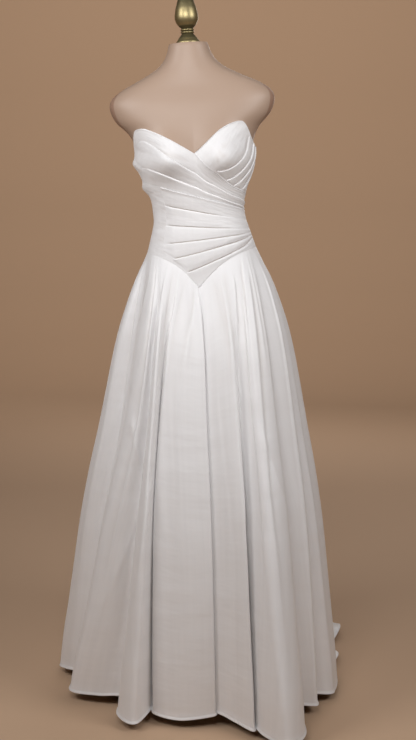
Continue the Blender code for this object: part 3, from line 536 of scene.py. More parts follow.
def soft_folds(folds, degrees, heights):
    """How far the folds lift the cloth: each is a soft line that fades at both ends."""
    lift = 0.0
    for start, high, end, low, depth, size in folds:
        along = np.array(((end - start) * cup_degree, low - high))
        apart = np.stack(((degrees - start) * cup_degree + 0.0 * heights, heights - high), -1)
        way = np.clip(apart @ along / (along @ along), 0.0, 1.0)
        gap = np.linalg.norm(apart - way[..., None] * along, axis=-1)
        lift = lift + depth * np.sin(math.pi * (0.08 + 0.84 * way)) * np.exp(-(gap / size) ** 2)
    return lift


def neckline_height(degrees):
    return float(read_table(neckline_left if degrees < dip_angle else neckline_right, 1, degrees))


def drape(degrees):
    if degrees > dip_angle:
        top = float(read_table(crossing_edge, 1, degrees)) - seam_gap / 2
    else:
        top = neckline_height(degrees)
    bottom = float(read_table(underbust_line, 1, degrees)) + seam_gap / 2
    pleats = []
    strength = float(smooth((degrees + 76.0) / 38.0))
    for left, middle, right, lip, groove in drape_pleats:
        end, reach = (left, -degrees / 70.0) if degrees < 0 else (right, degrees / 60.0)
        line = top + (bottom - top) * (middle + (end - middle) * float(smooth(reach)))
        pleats.append((line, lip * strength, groove * strength))
    rows = pleat_rows(top, bottom, pleats, turned=0.0012, held=0.05, between=11)
    rows[:, 1] += gather(degrees, rows[:, 0])
    rows[:, 1] += soft_folds(drape_folds, degrees, rows[:, 0]) * smooth((top - rows[:, 0]) / 0.012)
    return rows


laid_on("drape_crossing", "bodice_cup_left", spread(-side_seam + half, side_seam - half, 1.6), drape)


# The wearer's left drape, on the right in front view: it covers one cup, smooth over the bust, with curved
# pleats round the outer and lower side that disappear under the crossing edge.
cup_middle = np.array((31.0, 1.339))
# Pleats: distance from the middle of the fan, how far the edge stands proud
cup_pleats = ((0.082, 0.0022), (0.105, 0.0026), (0.125, 0.0028), (0.150, 0.0026))
# Soft folds, as on the other drape
cup_folds = (
    (20.0, 1.268, 50.0, 1.312, -0.0008, 0.0035), (27.0, 1.264, 58.0, 1.318, 0.0009, 0.0040),
    (24.0, 1.283, 44.0, 1.330, -0.0007, 0.0035), (16.0, 1.296, 34.0, 1.332, 0.0008, 0.0045),
    (33.0, 1.262, 60.0, 1.300, -0.0008, 0.0030),
)
# A pleat's edge: how far beyond its line, share of the lip's height
cup_pleat_edge = ((-0.0024, -0.15), (-0.0014, -0.50), (-0.0004, -0.55), (0.0002, 0.20), (0.0006, 0.70),
                  (0.0012, 0.95), (0.0022, 1.0))
cup_pleat_fall = (0.25, 0.42, 0.60, 0.78)
# The turned border: how far in, how far the cloth stands up; inside of it the rings end
cup_border = ((0.0022, 0.0012), (0.0007, 0.0013), (0.0, 0.0004))
cup_ring_end, cup_ring_step = 0.0045, 0.00005

border_angles = spread(dip_angle + half, side_seam - half, 1.2)
border = [(angle, float(read_table(crossing_edge, 1, angle)) + seam_gap / 2) for angle in border_angles]
side_top = neckline_height(side_seam - half)
border += [(border_angles[-1], height) for height in np.linspace(border[-1][1], side_top, 22)[1:-1]]
border += [(angle, neckline_height(angle)) for angle in border_angles[::-1]][:-1]
border = np.array(border)
radii = [(0.010 * i, 0.0) for i in range(1, 8)]
nexts = [radius for radius, lip in cup_pleats[1:]] + [cup_pleats[-1][0] + 0.030]
for (radius, lip), until in zip(cup_pleats, nexts):
    radii += [(radius + beyond, share * lip) for beyond, share in cup_pleat_edge]
    radii += [(radius + (until - radius) * s, lip * (1.0 - s ** 1.7)) for s in cup_pleat_fall]
offset = border - cup_middle
length = np.hypot(offset[:, 0] * cup_degree, offset[:, 1])
rings, lifts = [], []
for i, (radius, lift) in enumerate(radii):
    furthest = length - cup_ring_end - cup_ring_step * (len(radii) - i)
    share = np.minimum(radius, furthest) / length
    rings.append(cup_middle + offset * share[:, None])
    lifts.append(np.where(radius < furthest, lift, 0.0004))
for inset, lift in cup_border:
    rings.append(cup_middle + offset * (1.0 - inset / length)[:, None])
    lifts.append(np.full(len(border), lift))
rings, lifts = np.array(rings), np.array(lifts)
from_edge = length * (1.0 - np.linalg.norm(rings - cup_middle, axis=2) / np.linalg.norm(offset, axis=1))
lifts += soft_folds(cup_folds, rings[..., 0], rings[..., 1]) * smooth(from_edge / 0.012)
# The outer face, the inner face, and the middle point of each
points = [np.reshape(side, (-1, 3)) for side in both_sides(rings[..., 0], rings[..., 1], lifts)]
points += [both_sides(*cup_middle, 0.0)]
far, count, rim = lifts.size, len(border), lifts.size - len(border)
skin = ring_faces(len(rings), count)
faces = skin.tolist() + (skin[:, ::-1] + far).tolist()
for j in range(count):
    k = (j + 1) % count
    faces += [[2 * far, j, k], [2 * far + 1, far + k, far + j]]
    faces += [[rim + j, rim + far + j, rim + far + k, rim + k]]
# The bias runs across the cup, so its threads lie turned in the flat
flat_place = (rings - cup_middle).reshape(-1, 2) * (cup_degree, 1.0) @ ((0.67, -0.74), (0.74, 0.67))
uvs = np.concatenate((flat_place, flat_place, np.zeros((2, 2))))
mesh = make_mesh("drape_cup", np.concatenate(points), faces, uvs)
# Shade is painted into the colour where the cloth sinks into a groove, the deeper the darker
sunk = np.clip(-lifts.ravel() / painted_shade_depth, 0.0, 1.0)
cup = add_piece("drape_cup", carry(mesh, "fold_shade", (*sunk, *sunk, 0.0, 0.0)), bodice_satin,
                "bodice_cup_right")


# The back of the bodice: two plain panels over the boned lining, seamed to the drapes at the sides, with the
# concealed zip between them at the middle of the back.
strain_height = 0.0007
zip_fold_height = 0.0010


def back_panel(degrees):
    from_middle = abs(degrees - 180.0)
    top = neckline_height(degrees if degrees <= 180.0 else degrees - 360.0)
    bottom = float(seam_height(degrees)) + waist_lift
    edge = (top, top - 0.0007, top - 0.0022, top - 0.0042)
    levels = np.concatenate((edge, np.linspace(top - 0.010, bottom, 60)))
    lifts = np.zeros(len(levels))
    lifts[:4] = (0.0004, 0.0013, 0.0012, 0.0004)
    share = (top - levels) / (top - bottom)
    strain = np.sin(share * 23.0 + from_middle * 0.07) * np.exp(-((share - 0.62) / 0.2) ** 2)
    lifts += strain_height * strain * smooth((from_middle - 3.0) / 20.0)
    lifts += zip_fold_height * math.exp(-((from_middle - 2.6) / 2.0) ** 2) * (levels < top - 0.004)
    return np.stack((levels, lifts), -1)


laid_on("back_left", "bodice_back_right", spread(side_seam + half, 180.0 - half, 1.8), back_panel)
laid_on("back_right", "bodice_back_left", spread(180.0 + half, 360.0 - side_seam - half, 1.8), back_panel)


# The skirt: five gores of the same satin, cut wide at the hem, laid into deep unpressed folds at the pointed
# waist seam and left to fall. The back gores run out into a short train that lies on the floor.
skirt_wall = 0.0012
train_rest = 0.0030
floor_bend = 0.035
midway = 0.600
# How far a fold has come on its way out: height, share
skirt_spread = (
    (0.000, 1.000), (0.060, 0.975), (0.122, 0.942), (0.184, 0.900), (0.307, 0.825), (0.429, 0.750),
    (0.549, 0.655), (0.667, 0.543), (0.784, 0.442), (0.843, 0.389), (0.900, 0.327), (0.958, 0.245),
    (0.991, 0.192), (1.020, 0.139), (1.048, 0.077), (1.090, 0.000),
)
# Folds round the skirt from its right side: name, angle on the waist seam, place halfway down (x, y),
# place at the hem (x, y), height of the hem, length lying on the floor
skirt_folds = (
    ("side_left_ridge", -97.0, -0.262, 0.000, -0.362, 0.078, 0.016, 0.00),
    ("side_left_turn", -88.0, -0.246, -0.062, -0.342, 0.040, 0.022, 0.00),
    ("side_left_valley", -80.0, -0.205, -0.085, -0.300, -0.012, 0.030, 0.00),
    ("second_left_ridge", -70.0, -0.195, -0.145, -0.316, -0.102, 0.024, 0.00),
    ("second_left_face", -62.0, -0.160, -0.176, -0.250, -0.136, 0.026, 0.00),
    ("second_left_valley", -55.0, -0.128, -0.176, -0.184, -0.156, 0.030, 0.00),
    ("first_left_edge", -49.0, -0.128, -0.206, -0.193, -0.236, 0.022, 0.00),
    ("first_left_ridge", -41.0, -0.114, -0.220, -0.152, -0.284, 0.020, 0.00),
    ("first_left_valley", -28.0, -0.101, -0.187, -0.111, -0.202, 0.030, 0.00),
    ("middle_left_rise", -21.0, -0.099, -0.206, -0.110, -0.236, 0.024, 0.00),
    ("middle_left_ridge", -14.0, -0.044, -0.224, -0.050, -0.268, 0.022, 0.00),
    ("middle_left_edge", -7.0, 0.012, -0.224, 0.026, -0.260, 0.028, 0.00),
    ("middle_valley", -4.0, 0.013, -0.213, 0.027, -0.247, 0.031, 0.00),
    ("middle_right_edge", 2.0, 0.032, -0.222, 0.052, -0.262, 0.030, 0.00),
    ("middle_right_ridge", 20.0, 0.087, -0.248, 0.115, -0.322, 0.020, 0.00),
    ("first_right_valley", 40.0, 0.091, -0.223, 0.114, -0.290, 0.026, 0.00),
    ("first_right_edge", 46.0, 0.114, -0.240, 0.142, -0.345, 0.018, 0.00),
    ("first_right_ridge", 53.0, 0.140, -0.258, 0.190, -0.390, 0.016, 0.00),
    ("first_right_turn", 60.0, 0.179, -0.228, 0.230, -0.336, 0.020, 0.00),
    ("second_right_valley", 66.0, 0.180, -0.180, 0.225, -0.212, 0.028, 0.00),
    ("second_right_ridge", 72.0, 0.225, -0.146, 0.268, -0.186, 0.022, 0.00),
    ("third_right_valley", 78.0, 0.220, -0.112, 0.268, -0.130, 0.025, 0.00),
    ("third_right_ridge", 84.0, 0.246, -0.080, 0.314, -0.104, 0.018, 0.00),
    ("side_right_turn", 92.0, 0.264, -0.016, 0.334, -0.010, 0.014, 0.00),
    ("side_right_valley", 99.0, 0.238, 0.036, 0.322, 0.050, 0.012, 0.01),
    ("train_right_1", 107.0, 0.262, 0.092, 0.356, 0.160, 0.012, 0.02),
    ("train_right_2", 115.0, 0.218, 0.122, 0.346, 0.240, 0.003, 0.05),
    ("train_right_3", 123.0, 0.224, 0.182, 0.380, 0.350, 0.018, 0.10),
    ("train_right_4", 133.0, 0.168, 0.184, 0.362, 0.432, 0.003, 0.17),
    ("train_right_5", 142.0, 0.162, 0.246, 0.322, 0.512, 0.022, 0.19),
    ("train_right_6", 151.0, 0.106, 0.226, 0.262, 0.584, 0.003, 0.24),
    ("train_right_7", 160.0, 0.092, 0.280, 0.190, 0.652, 0.026, 0.26),
    ("train_right_8", 170.0, 0.036, 0.246, 0.098, 0.670, 0.003, 0.29),
    ("train_middle", 180.0, 0.000, 0.286, 0.008, 0.700, 0.020, 0.29),
    ("train_left_8", 190.0, -0.036, 0.246, -0.084, 0.676, 0.003, 0.29),
    ("train_left_7", 200.0, -0.088, 0.282, -0.176, 0.668, 0.024, 0.27),
    ("train_left_6", 209.0, -0.108, 0.226, -0.256, 0.596, 0.003, 0.25),
    ("train_left_5", 218.0, -0.164, 0.242, -0.326, 0.540, 0.022, 0.20),
    ("train_left_4", 227.0, -0.170, 0.180, -0.364, 0.448, 0.003, 0.18),
    ("train_left_3", 236.0, -0.222, 0.170, -0.360, 0.368, 0.018, 0.10),
    ("train_left_2", 245.0, -0.218, 0.112, -0.346, 0.262, 0.003, 0.06),
    ("train_left_1", 253.0, -0.258, 0.080, -0.350, 0.180, 0.014, 0.02),
    ("side_left_back_valley", 258.0, -0.236, 0.040, -0.334, 0.124, 0.016, 0.01),
)
skirt_stand_off = 0.0028
seam_stand_off = 0.0018
steps_between = 16
skirt_rows = 96
hem_rows = 6
# Half the thickness of the turned-up hem and of its fold, in thicknesses of the satin
hem_half, hem_fold_half = 0.8, 1.3
# A fold in the skirt this deep gets the full shade painted into the satin's colour
skirt_painted_shade_depth = 0.0042
# Soft creases: place among the folds at its top and at its foot, from and to which share of
# the length, how far it sinks (or rises), half its width in folds
skirt_creases = (
    (14.2, 14.6, 0.00, 0.30, -0.0022, 0.22), (13.6, 13.9, 0.00, 0.22, -0.0018, 0.18),
    (14.9, 15.0, 0.00, 0.34, 0.0020, 0.20), (16.3, 16.6, 0.00, 0.40, -0.0022, 0.22),
    (10.4, 10.1, 0.00, 0.26, -0.0020, 0.20), (11.3, 11.2, 0.02, 0.34, 0.0022, 0.20),
    (9.3, 9.0, 0.00, 0.45, -0.0018, 0.20), (7.5, 7.6, 0.00, 0.35, -0.0020, 0.22),
    (6.5, 6.6, 0.02, 0.50, 0.0020, 0.25), (4.4, 4.5, 0.00, 0.38, -0.0022, 0.25),
    (2.5, 2.6, 0.02, 0.42, -0.0020, 0.25), (17.6, 17.3, 0.02, 0.44, -0.0022, 0.22),
    (20.5, 20.6, 0.00, 0.40, 0.0020, 0.25), (22.6, 22.5, 0.02, 0.36, -0.0020, 0.25),
    (25.4, 25.6, 0.00, 0.42, -0.0022, 0.25), (28.5, 28.3, 0.00, 0.36, -0.0024, 0.25),
    (31.4, 31.5, 0.02, 0.44, 0.0022, 0.25), (34.6, 34.5, 0.00, 0.38, -0.0022, 0.25),
    (37.4, 37.6, 0.02, 0.42, -0.0022, 0.25), (40.5, 40.4, 0.00, 0.40, 0.0020, 0.25),
    (3.4, 5.6, 0.34, 0.56, 0.0050, 0.24), (5.2, 3.2, 0.48, 0.88, 0.0046, 0.22),
    (5.2, 5.5, 0.60, 0.97, 0.0050, 0.20), (17.0, 18.3, 0.36, 0.60, 0.0036, 0.24),
    (7.1, 6.3, 0.44, 0.84, 0.0044, 0.22), (2.0, 1.2, 0.30, 0.75, 0.0040, 0.24),
    (10.6, 10.3, 0.52, 0.97, 0.0024, 0.30), (14.3, 14.5, 0.50, 0.99, -0.0028, 0.28),
    (16.6, 16.8, 0.55, 0.99, 0.0024, 0.26), (8.6, 8.4, 0.60, 0.99, -0.0020, 0.26),
    (4.6, 4.4, 0.55, 0.98, -0.0026, 0.30), (19.5, 19.6, 0.48, 0.96, 0.0020, 0.26),
    (29.6, 29.5, 0.50, 0.90, -0.0026, 0.30), (33.6, 33.5, 0.52, 0.92, 0.0026, 0.30),
    (38.5, 38.6, 0.50, 0.92, -0.0026, 0.30), (41.6, 41.5, 0.52, 0.95, 0.0022, 0.28),
)
# Crisp edges that start from the pleats in the seam: the line each follows (share of the length, place among
# the folds), how far it stands proud, how deep the groove beside it is, its side of the groove (1: right),
# its length
skirt_edges = (
    (((0.00, 7.8), (0.08, 8.7), (0.20, 8.9), (0.36, 8.9)), 0.0020, 0.0030, 1, 0.36),
    (((0.00, 3.2), (0.06, 3.1), (0.17, 2.3)), 0.0022, 0.0026, 1, 0.22),
    (((0.00, 6.9), (0.09, 6.1), (0.20, 4.7)), 0.0016, 0.0026, 1, 0.26),
    (((0.00, 11.2), (0.03, 10.6), (0.12, 10.1), (0.20, 9.85), (0.34, 9.7)), 0.0028, 0.0020, 1, 0.34),
    (((0.00, 11.3), (0.09, 11.6), (0.28, 11.6)), 0.0014, 0.0024, -1, 0.28),
    (((0.00, 14.0), (0.12, 14.0), (0.25, 13.9)), 0.0014, 0.0030, 1, 0.30),
    (((0.00, 14.6), (0.07, 15.1), (0.14, 15.2), (0.25, 14.8), (0.42, 14.4)), 0.0016, 0.0032, -1, 0.42),
    (((0.00, 17.8), (0.17, 17.8)), 0.0016, 0.0024, -1, 0.28),
    (((0.00, 16.7), (0.10, 16.6)), 0.0014, 0.0024, 1, 0.20),
    (((0.08, 6.0), (0.20, 5.6), (0.49, 5.7), (1.0, 5.6)), 0.0042, 0.0032, 1, 1.0),
    (((0.00, 1.7), (0.33, 2.1), (0.56, 2.4), (1.0, 2.7)), 0.0040, 0.0032, 1, 1.0),
    (((0.04, 4.4), (0.30, 4.0), (0.62, 3.7), (1.0, 3.6)), 0.0044, 0.0030, 1, 0.95),
    (((0.10, 6.9), (0.40, 6.8), (0.72, 7.2)), 0.0044, 0.0026, -1, 0.80),
    (((0.02, 0.7), (0.40, 0.9), (0.90, 0.8)), 0.0034, 0.0026, 1, 0.90),
    (((0.10, 16.1), (0.45, 16.5), (0.86, 16.4)), 0.0034, 0.0022, 1, 0.90),
    (((0.05, 17.4), (0.50, 17.2), (0.95, 17.4)), 0.0042, 0.0026, -1, 0.95),
    (((0.03, 19.9), (0.45, 19.8), (1.0, 19.9)), 0.0024, 0.0018, 1, 1.0),
    (((0.02, 22.2), (0.50, 22.0), (1.0, 22.1)), 0.0026, 0.0020, -1, 1.0),
    (((0.22, 9.6), (0.50, 9.9), (0.80, 9.8)), 0.0016, 0.0012, 1, 0.80),
    (((0.25, 13.3), (0.60, 13.5), (1.0, 13.4)), 0.0014, 0.0012, -1, 1.0),
    (((0.00, 24.3), (1.0, 24.2)), 0.0022, 0.0030, 1, 0.80),
    (((0.00, 26.4), (1.0, 26.2)), 0.0020, 0.0034, -1, 0.60),
    (((0.00, 28.2), (1.0, 28.3)), 0.0026, 0.0034, 1, 0.90),
    (((0.00, 30.4), (1.0, 30.1)), 0.0020, 0.0030, -1, 0.55),
    (((0.00, 32.6), (1.0, 32.3)), 0.0026, 0.0034, 1, 0.70),
    (((0.00, 34.3), (1.0, 34.2)), 0.0022, 0.0034, 1, 0.90),
    (((0.00, 36.1), (1.0, 36.3)), 0.0026, 0.0030, -1, 0.60),
    (((0.00, 38.3), (1.0, 38.2)), 0.0022, 0.0034, 1, 0.85),
    (((0.00, 40.5), (1.0, 40.3)), 0.0020, 0.0030, -1, 0.65),
)
# Gores: piece, node, first fold, last fold, width at the hem, length, area that shows
skirt_gores = (
    ("gore_front", "skirt_front", "second_left_valley", "second_right_valley", 0.97, 1.12, 0.60),
    ("gore_side_left", "skirt_side_right", "second_right_valley", "train_right_4", 0.74, 1.28, 0.54),
    ("gore_back_left", "skirt_back_right", "train_right_4", "train_middle", 0.49, 1.40, 0.39),
    ("gore_back_right", "skirt_back_left", "train_middle", "train_left_4", 0.50, 1.40, 0.40),
    ("gore_side_right", "skirt_side_left", "train_left_4", "second_left_valley", 0.75, 1.28, 0.555),
)


def hang_fold(fold, share):
    """A fold's line from the waist seam down to the hem, bent where it meets the floor."""
    waist_angle, mid_x, mid_y, hem_x, hem_y, hem_z, train = fold[1:]
    top = on_torso(waist_angle, seam_height(waist_angle) - waist_lift, cloth_clearance + skirt_stand_off)
    drop = top[2] - hem_z
    hanging = drop / (drop + train)
    hem = np.array((hem_x, hem_y))
    touch = hem * (1.0 - train / np.hypot(hem_x, hem_y))
    spread_top = read_table(skirt_spread, 1, top[2])
    spread_end = read_table(skirt_spread, 1, hem_z)
    bend = (read_table(skirt_spread, 1, midway) - spread_top) / (spread_end - spread_top)
    level = top[2] - drop * np.minimum(1.0, share / hanging)
    t = (read_table(skirt_spread, 1, level) - spread_top) / (spread_end - spread_top)
    place = ((t - bend) * (t - 1.0) / bend)[:, None] * top[:2]
    place = place + (t * (t - 1.0) / (bend * (bend - 1.0)))[:, None] * np.array((mid_x, mid_y))
    place = place + (t * (t - bend) / (1.0 - bend))[:, None] * touch
    if train == 0.0:
        return np.column_stack((place, level))
    beyond = np.maximum(0.0, share - hanging) / (1.0 - hanging)
    place = place + beyond[:, None] * (hem - touch)
    fall = top[2] - drop * share / hanging
    soft = floor_bend * min(1.0, train / 0.1)
    settled = 0.5 * (fall + hem_z + np.sqrt((fall - hem_z) ** 2 + soft ** 2))
    rest = settled - 0.5 * soft * smooth(beyond) * soft / (soft + 0.2)
    return np.column_stack((place, np.maximum(rest, train_rest)))


share = np.linspace(0.0, 1.0, skirt_rows)
share = np.concatenate((share[:-2], np.linspace(share[-2], 1.0, hem_rows + 1)))
knots = np.stack([hang_fold(fold, share) for fold in skirt_folds], axis=1)
skirt = np.zeros((len(share), len(skirt_folds) * steps_between, 3))
for step in range(steps_between):
    t = step / steps_between
    a, b, c, d = (np.roll(knots, -k, axis=1) for k in (-1, 0, 1, 2))
    skirt[:, step::steps_between] = (b * 2 + (c - a) * t + (a * 2 - b * 5 + c * 4 - d) * t ** 2
                                     + (b * 3 - a - c * 3 + d) * t ** 3) * 0.5
waist = np.array([fold[1] for fold in skirt_folds])
turn = (np.roll(waist, -1) - waist) % 360.0
waist = (waist[:, None] + turn[:, None] * np.arange(steps_between) / steps_between).ravel()
seated = on_torso(waist, seam_height(waist) - waist_lift, cloth_clearance + seam_stand_off)
settle = 1.0 - smooth(share / 0.03)
skirt += settle[:, None, None] * (seated - skirt[0])
skirt[..., 2] = np.maximum(skirt[..., 2], train_rest)

place = np.arange(skirt.shape[1]) / steps_between
count = len(skirt_folds)
crease = np.zeros(skirt.shape[:2])
for start, end, above, below, depth, width in skirt_creases:
    way = np.clip((share - above) / (below - above), 0.0, 1.0)
    middle = start + (end - start) * way
    apart = (place[None, :] - middle[:, None] + count / 2) % count - count / 2
    strength = smooth(way / 0.15) * smooth((1.0 - way) / 0.6) * (share >= above) * (share <= below)
    crease += depth * strength[:, None] * np.exp(-np.sqrt(apart ** 2 + 0.001) / width)

reach = np.linalg.norm(np.roll(skirt, -1, axis=1) - skirt, axis=2).cumsum(axis=1)
reach = np.concatenate((np.zeros((len(share), 1)), reach[:, :-1]), axis=1)
for line, proud, groove, side, length in skirt_edges:
    column = np.interp(share, *np.transpose(line)) * steps_between
    middle = np.array([np.interp(column[i], np.arange(skirt.shape[1]), reach[i]) for i in range(len(share))])
    apart = (reach - middle[:, None]) * side
    over = 0.5 + 0.5 * np.tanh(apart / (0.0008 + 0.8 * np.gradient(reach, axis=1)))
    strength = smooth((length - share) / (0.5 * length) + (length == 1.0))
    strength *= smooth((share - line[0][0]) / 0.1 + 0.3)
    soft = share[:, None]
    raised = over * proud * np.exp(-np.maximum(apart, 0.0) / (0.005 + 0.014 * soft)) * smooth(soft / 0.02)
    sunk = (1.0 - over) * groove * np.exp(-np.maximum(-apart, 0.0) / (0.003 + 0.008 * soft))
    crease += (raised - sunk * (0.4 + 0.6 * smooth(soft / 0.12))) * strength[:, None]


def grid_normals(grid):
    down = np.gradient(grid, axis=0)
    along = np.roll(grid, -1, axis=1) - np.roll(grid, 1, axis=1)
    normal = np.cross(down, along)
    return normal / np.maximum(np.linalg.norm(normal, axis=2, keepdims=True), 1e-12)


skirt = skirt + crease[..., None] * grid_normals(skirt)
skirt[..., 2] = np.maximum(skirt[..., 2], train_rest)
normals = grid_normals(skirt)
# The hem curls out a little, except where it lies on the floor
curl = np.zeros(len(share))
curl[-4:] = (0.0003, 0.0011, 0.0021, 0.0030)
skirt = skirt + normals * curl[:, None, None] * smooth((skirt[-1, :, 2] - 0.012) / 0.008)[:, None]
thick = np.full((len(share), 1, 1), 0.5 * skirt_wall)
thick[-hem_rows:-1] = hem_half * skirt_wall
thick[-3:-1] = hem_fold_half * skirt_wall
names = [fold[0] for fold in skirt_folds]
skirt_satin = satin("skirt_satin", 0.42, (5.0, 19.0), 0.45, 0.45)
for name, node, first, end, width, length, area in skirt_gores:
    start, stop = names.index(first) * steps_between, names.index(end) * steps_between
    picked = np.arange(start, stop + 1 if stop > start else stop + 1 + skirt.shape[1]) % skirt.shape[1]
    cloth, out = skirt[:, picked].copy(), normals[:, picked]
    for edge, inward in ((0, 1), (-1, -2)):
        along = cloth[:, inward] - cloth[:, edge]
        cloth[:, edge] += along / np.linalg.norm(along, axis=1, keepdims=True) * seam_gap / 2
    # Shade is painted into the colour along the skirt's grooves, the deeper the darker
    mesh = wall(name, cloth + out * thick, cloth - out * thick, -crease[:, picked] / skirt_painted_shade_depth)
    gore = add_piece(name, mesh, skirt_satin, node)


# The sewing that shows: machine stitches hold the turned hem a finger's width above its edge, and a row runs
# down beside the zip on each side. Each stitch is a short cotton thread pulled into the satin.
stitch_pitch, stitch_length, thread_radius = 0.0036, 0.0026, 0.00030
zip_stitch_angle = 4.6
zip_stitch_top = 1.276


def stitch_row():
    """Sets one small thread after another along the lines it is given."""
    tree = bpy.data.node_groups.new("stitch_row", "GeometryNodeTree")
    tree.interface.new_socket("Geometry", in_out="OUTPUT", socket_type="NodeSocketGeometry")
    kinds = {"Line": "Geometry", "Pitch": "Float", "Length": "Float", "Thread": "Float", "Seed": "Int",
             "Cotton": "Material"}
    for name, kind in kinds.items():
        tree.interface.new_socket(name, in_out="INPUT", socket_type="NodeSocket" + kind)
    row = Nodes(tree)
    inputs = tree.nodes.new("NodeGroupInput").outputs
    line, pitch, length, thread, seed, cotton = (Socket(row, inputs[name]) for name in kinds)
    curve = row.node("GeometryNodeMeshToCurve", {}, {"Mesh": line})
    places = row.node("GeometryNodeResampleCurve", {"mode": "LENGTH"}, {"Curve": curve, "Length": pitch})
    shares = {2: 0.42, 3: 0.54, "Seed": seed}
    uneven = row.node("FunctionNodeRandomValue", {"data_type": "FLOAT"}, shares, output=1)
    size = row.node("ShaderNodeCombineXYZ", {}, {"X": length * uneven, "Y": thread, "Z": thread})
    along = row.node("GeometryNodeInputTangent")
    turn = row.node("FunctionNodeAlignRotationToVector", {"axis": "X"}, {"Vector": along})
    stitch = row.node("GeometryNodeMeshIcoSphere", {}, {"Radius": 1.0, "Subdivisions": 1})
    sewn = {"Points": places, "Instance": stitch, "Rotation": turn, "Scale": size}
    stitches = row.node("GeometryNodeInstanceOnPoints", {}, sewn)
    solid = row.node("GeometryNodeRealizeInstances", {}, {"Geometry": stitches})
    threads = row.node("GeometryNodeSetMaterial", {}, {"Geometry": solid, "Material": cotton})
    row.give(tree.nodes.new("NodeGroupOutput").inputs[0], threads)
    return tree


def cotton():
    finish = Finish("stitch_cotton")
    twist = finish.noise(finish.place(), 2400.0, 2.0)
    colour = finish.mix(twist, (0.70, 0.68, 0.66, 1.0), (0.80, 0.78, 0.77, 1.0))
    return finish.set(Base_Color=colour, Roughness=0.55 + 0.1 * twist)


stitch_tree, stitch_thread = stitch_row(), cotton()


def sew(name, lines):
    points = np.concatenate(lines)
    starts = np.cumsum([0] + [len(line) for line in lines])
    edges = [(i, i + 1) for start, end in zip(starts, starts[1:]) for i in range(start, end - 1)]
    mesh = bpy.data.meshes.new(name + "_line")
    mesh.from_pydata(points.tolist(), edges, [])
    guide = bpy.data.objects.new(name + "_line", mesh)
    bpy.context.scene.collection.objects.link(guide)
    sewing = guide.modifiers.new("stitches", "NODES")
    sewing.node_group = stitch_tree
    values = {"Pitch": stitch_pitch, "Length": stitch_length, "Thread": thread_radius, "Seed": 7,
              "Cotton": stitch_thread}
    for item in stitch_tree.interface.items_tree:
        if item.in_out == "INPUT" and item.name in values:
            sewing[item.identifier] = values[item.name]
    ready = bpy.context.evaluated_depsgraph_get()
    stitches = bpy.data.meshes.new_from_object(guide.evaluated_get(ready), depsgraph=ready)
    guide.modifiers.remove(sewing)
    bpy.data.objects.remove(guide)
    stitches.materials.clear()
    stitches.shade_smooth()
    add_piece(name, stitches, stitch_thread, None)


raised = skirt[-hem_rows] + normals[-hem_rows] * (hem_half * skirt_wall + 0.0001)
sew("hem_stitches", [np.concatenate((raised, raised[:1]))])
zip_levels = np.linspace(zip_stitch_top, seam_height(180.0) + 0.004, 60)
sew("zip_stitches", [on_torso(180.0 + beside, zip_levels, cloth_clearance + satin_wall + 0.0005)
                     for beside in (-zip_stitch_angle, zip_stitch_angle)])


# The underskirt: a plain flared tube of matte lining in two halves, sewn inside the waist seam. It holds the
# folds out and shows a little under the raised front hem.
# Its hem's distance from the middle: ahead, beside, behind
underskirt_hem = (0.182, 0.262, 0.330)
underskirt_hem_height = 0.008
underskirt_drop = 0.018
underskirt_wall = 0.0010
underskirt_ease, underskirt_loosening = 0.0006, 0.0035
# It is snug down to the hip and flares out straight from a little over it
hip_height, flare_height = 0.97, 0.99


def lining():
    finish = Finish("underskirt_lining")
    uv = finish.node("ShaderNodeUVMap", {"uv_map": "cloth"})
    weave = finish.noise(finish.stretched(uv, (900.0, 60.0, 1.0)), 1.0, 2.0, 0.5)
    cloud = finish.noise(finish.place(), 4.0)
    colour = finish.mix(cloud, (0.66, 0.62, 0.58, 1.0), (0.72, 0.68, 0.64, 1.0))
    finish.set(Base_Color=colour, Roughness=0.62 + 0.1 * weave, Normal=finish.bump(weave, 0.06, 0.0004))
    return finish.set(Sheen_Weight=0.1)


def underskirt_point(degrees, share, out):
    ahead, beside, behind = underskirt_hem
    turn = np.abs((degrees + 180.0) % 360.0 - 180.0)
    hem = np.where(turn < 90.0, ahead + (beside - ahead) * smooth((turn - 30.0) / 60.0),
                   beside + (behind - beside) * smooth((turn - 90.0) / 90.0))
    top = seam_height(degrees) - underskirt_drop
    height = top + (underskirt_hem_height - top) * share
    ease = underskirt_ease + underskirt_loosening * smooth(share / 0.04)
    snug = on_torso(degrees, np.maximum(height, hip_height), cloth_clearance + ease + out)
    angle = np.radians(degrees)
    rim = np.stack((np.sin(angle), -np.cos(angle), np.zeros_like(angle)), -1) * (hem + out)[..., None]
    way = np.maximum(0.0, (flare_height - height) / (flare_height - underskirt_hem_height))
    point = snug + (rim - snug) * way[..., None]
    point[..., 2] = np.where(way == 0.0, snug[..., 2], height)
    return point


lining_cloth = lining()
shares = np.concatenate((np.linspace(0.0, 0.1, 9), np.linspace(0.1, 1.0, 46)[1:]))
for name, node, start, width, area in (("underskirt_front_half", "underskirt_front", -90.0, 0.74, 0.545),
                                       ("underskirt_back_half", "underskirt_back", 90.0, 0.95, 0.69)):
    degrees, way = np.meshgrid(spread(start + half, start + 180.0 - half, 2.0), shares)
    mesh = wall(name, underskirt_point(degrees, way, underskirt_wall), underskirt_point(degrees, way, 0.0))
    piece = add_piece(name, mesh, lining_cloth, node)


# The zip's slider and its flat pull tab: small pressed nickel pieces at the top of the middle back. The
# slider closes the zip's teeth, and the tab swings on a pin between its two ears.
def nickel():
    finish = Finish("zip_nickel_plate")
    place = finish.place()
    brushed = finish.noise(finish.stretched(place, (1.0, 1.0, 0.08)), 2600.0, 2.0)
    colour = finish.mix(brushed, (0.56, 0.54, 0.50, 1.0), (0.68, 0.66, 0.62, 1.0))
    finish.set(Base_Color=colour, Roughness=0.22 + 0.16 * brushed, Normal=finish.bump(brushed, 0.05, 0.0002))
    return finish.set(Metallic=1.0)


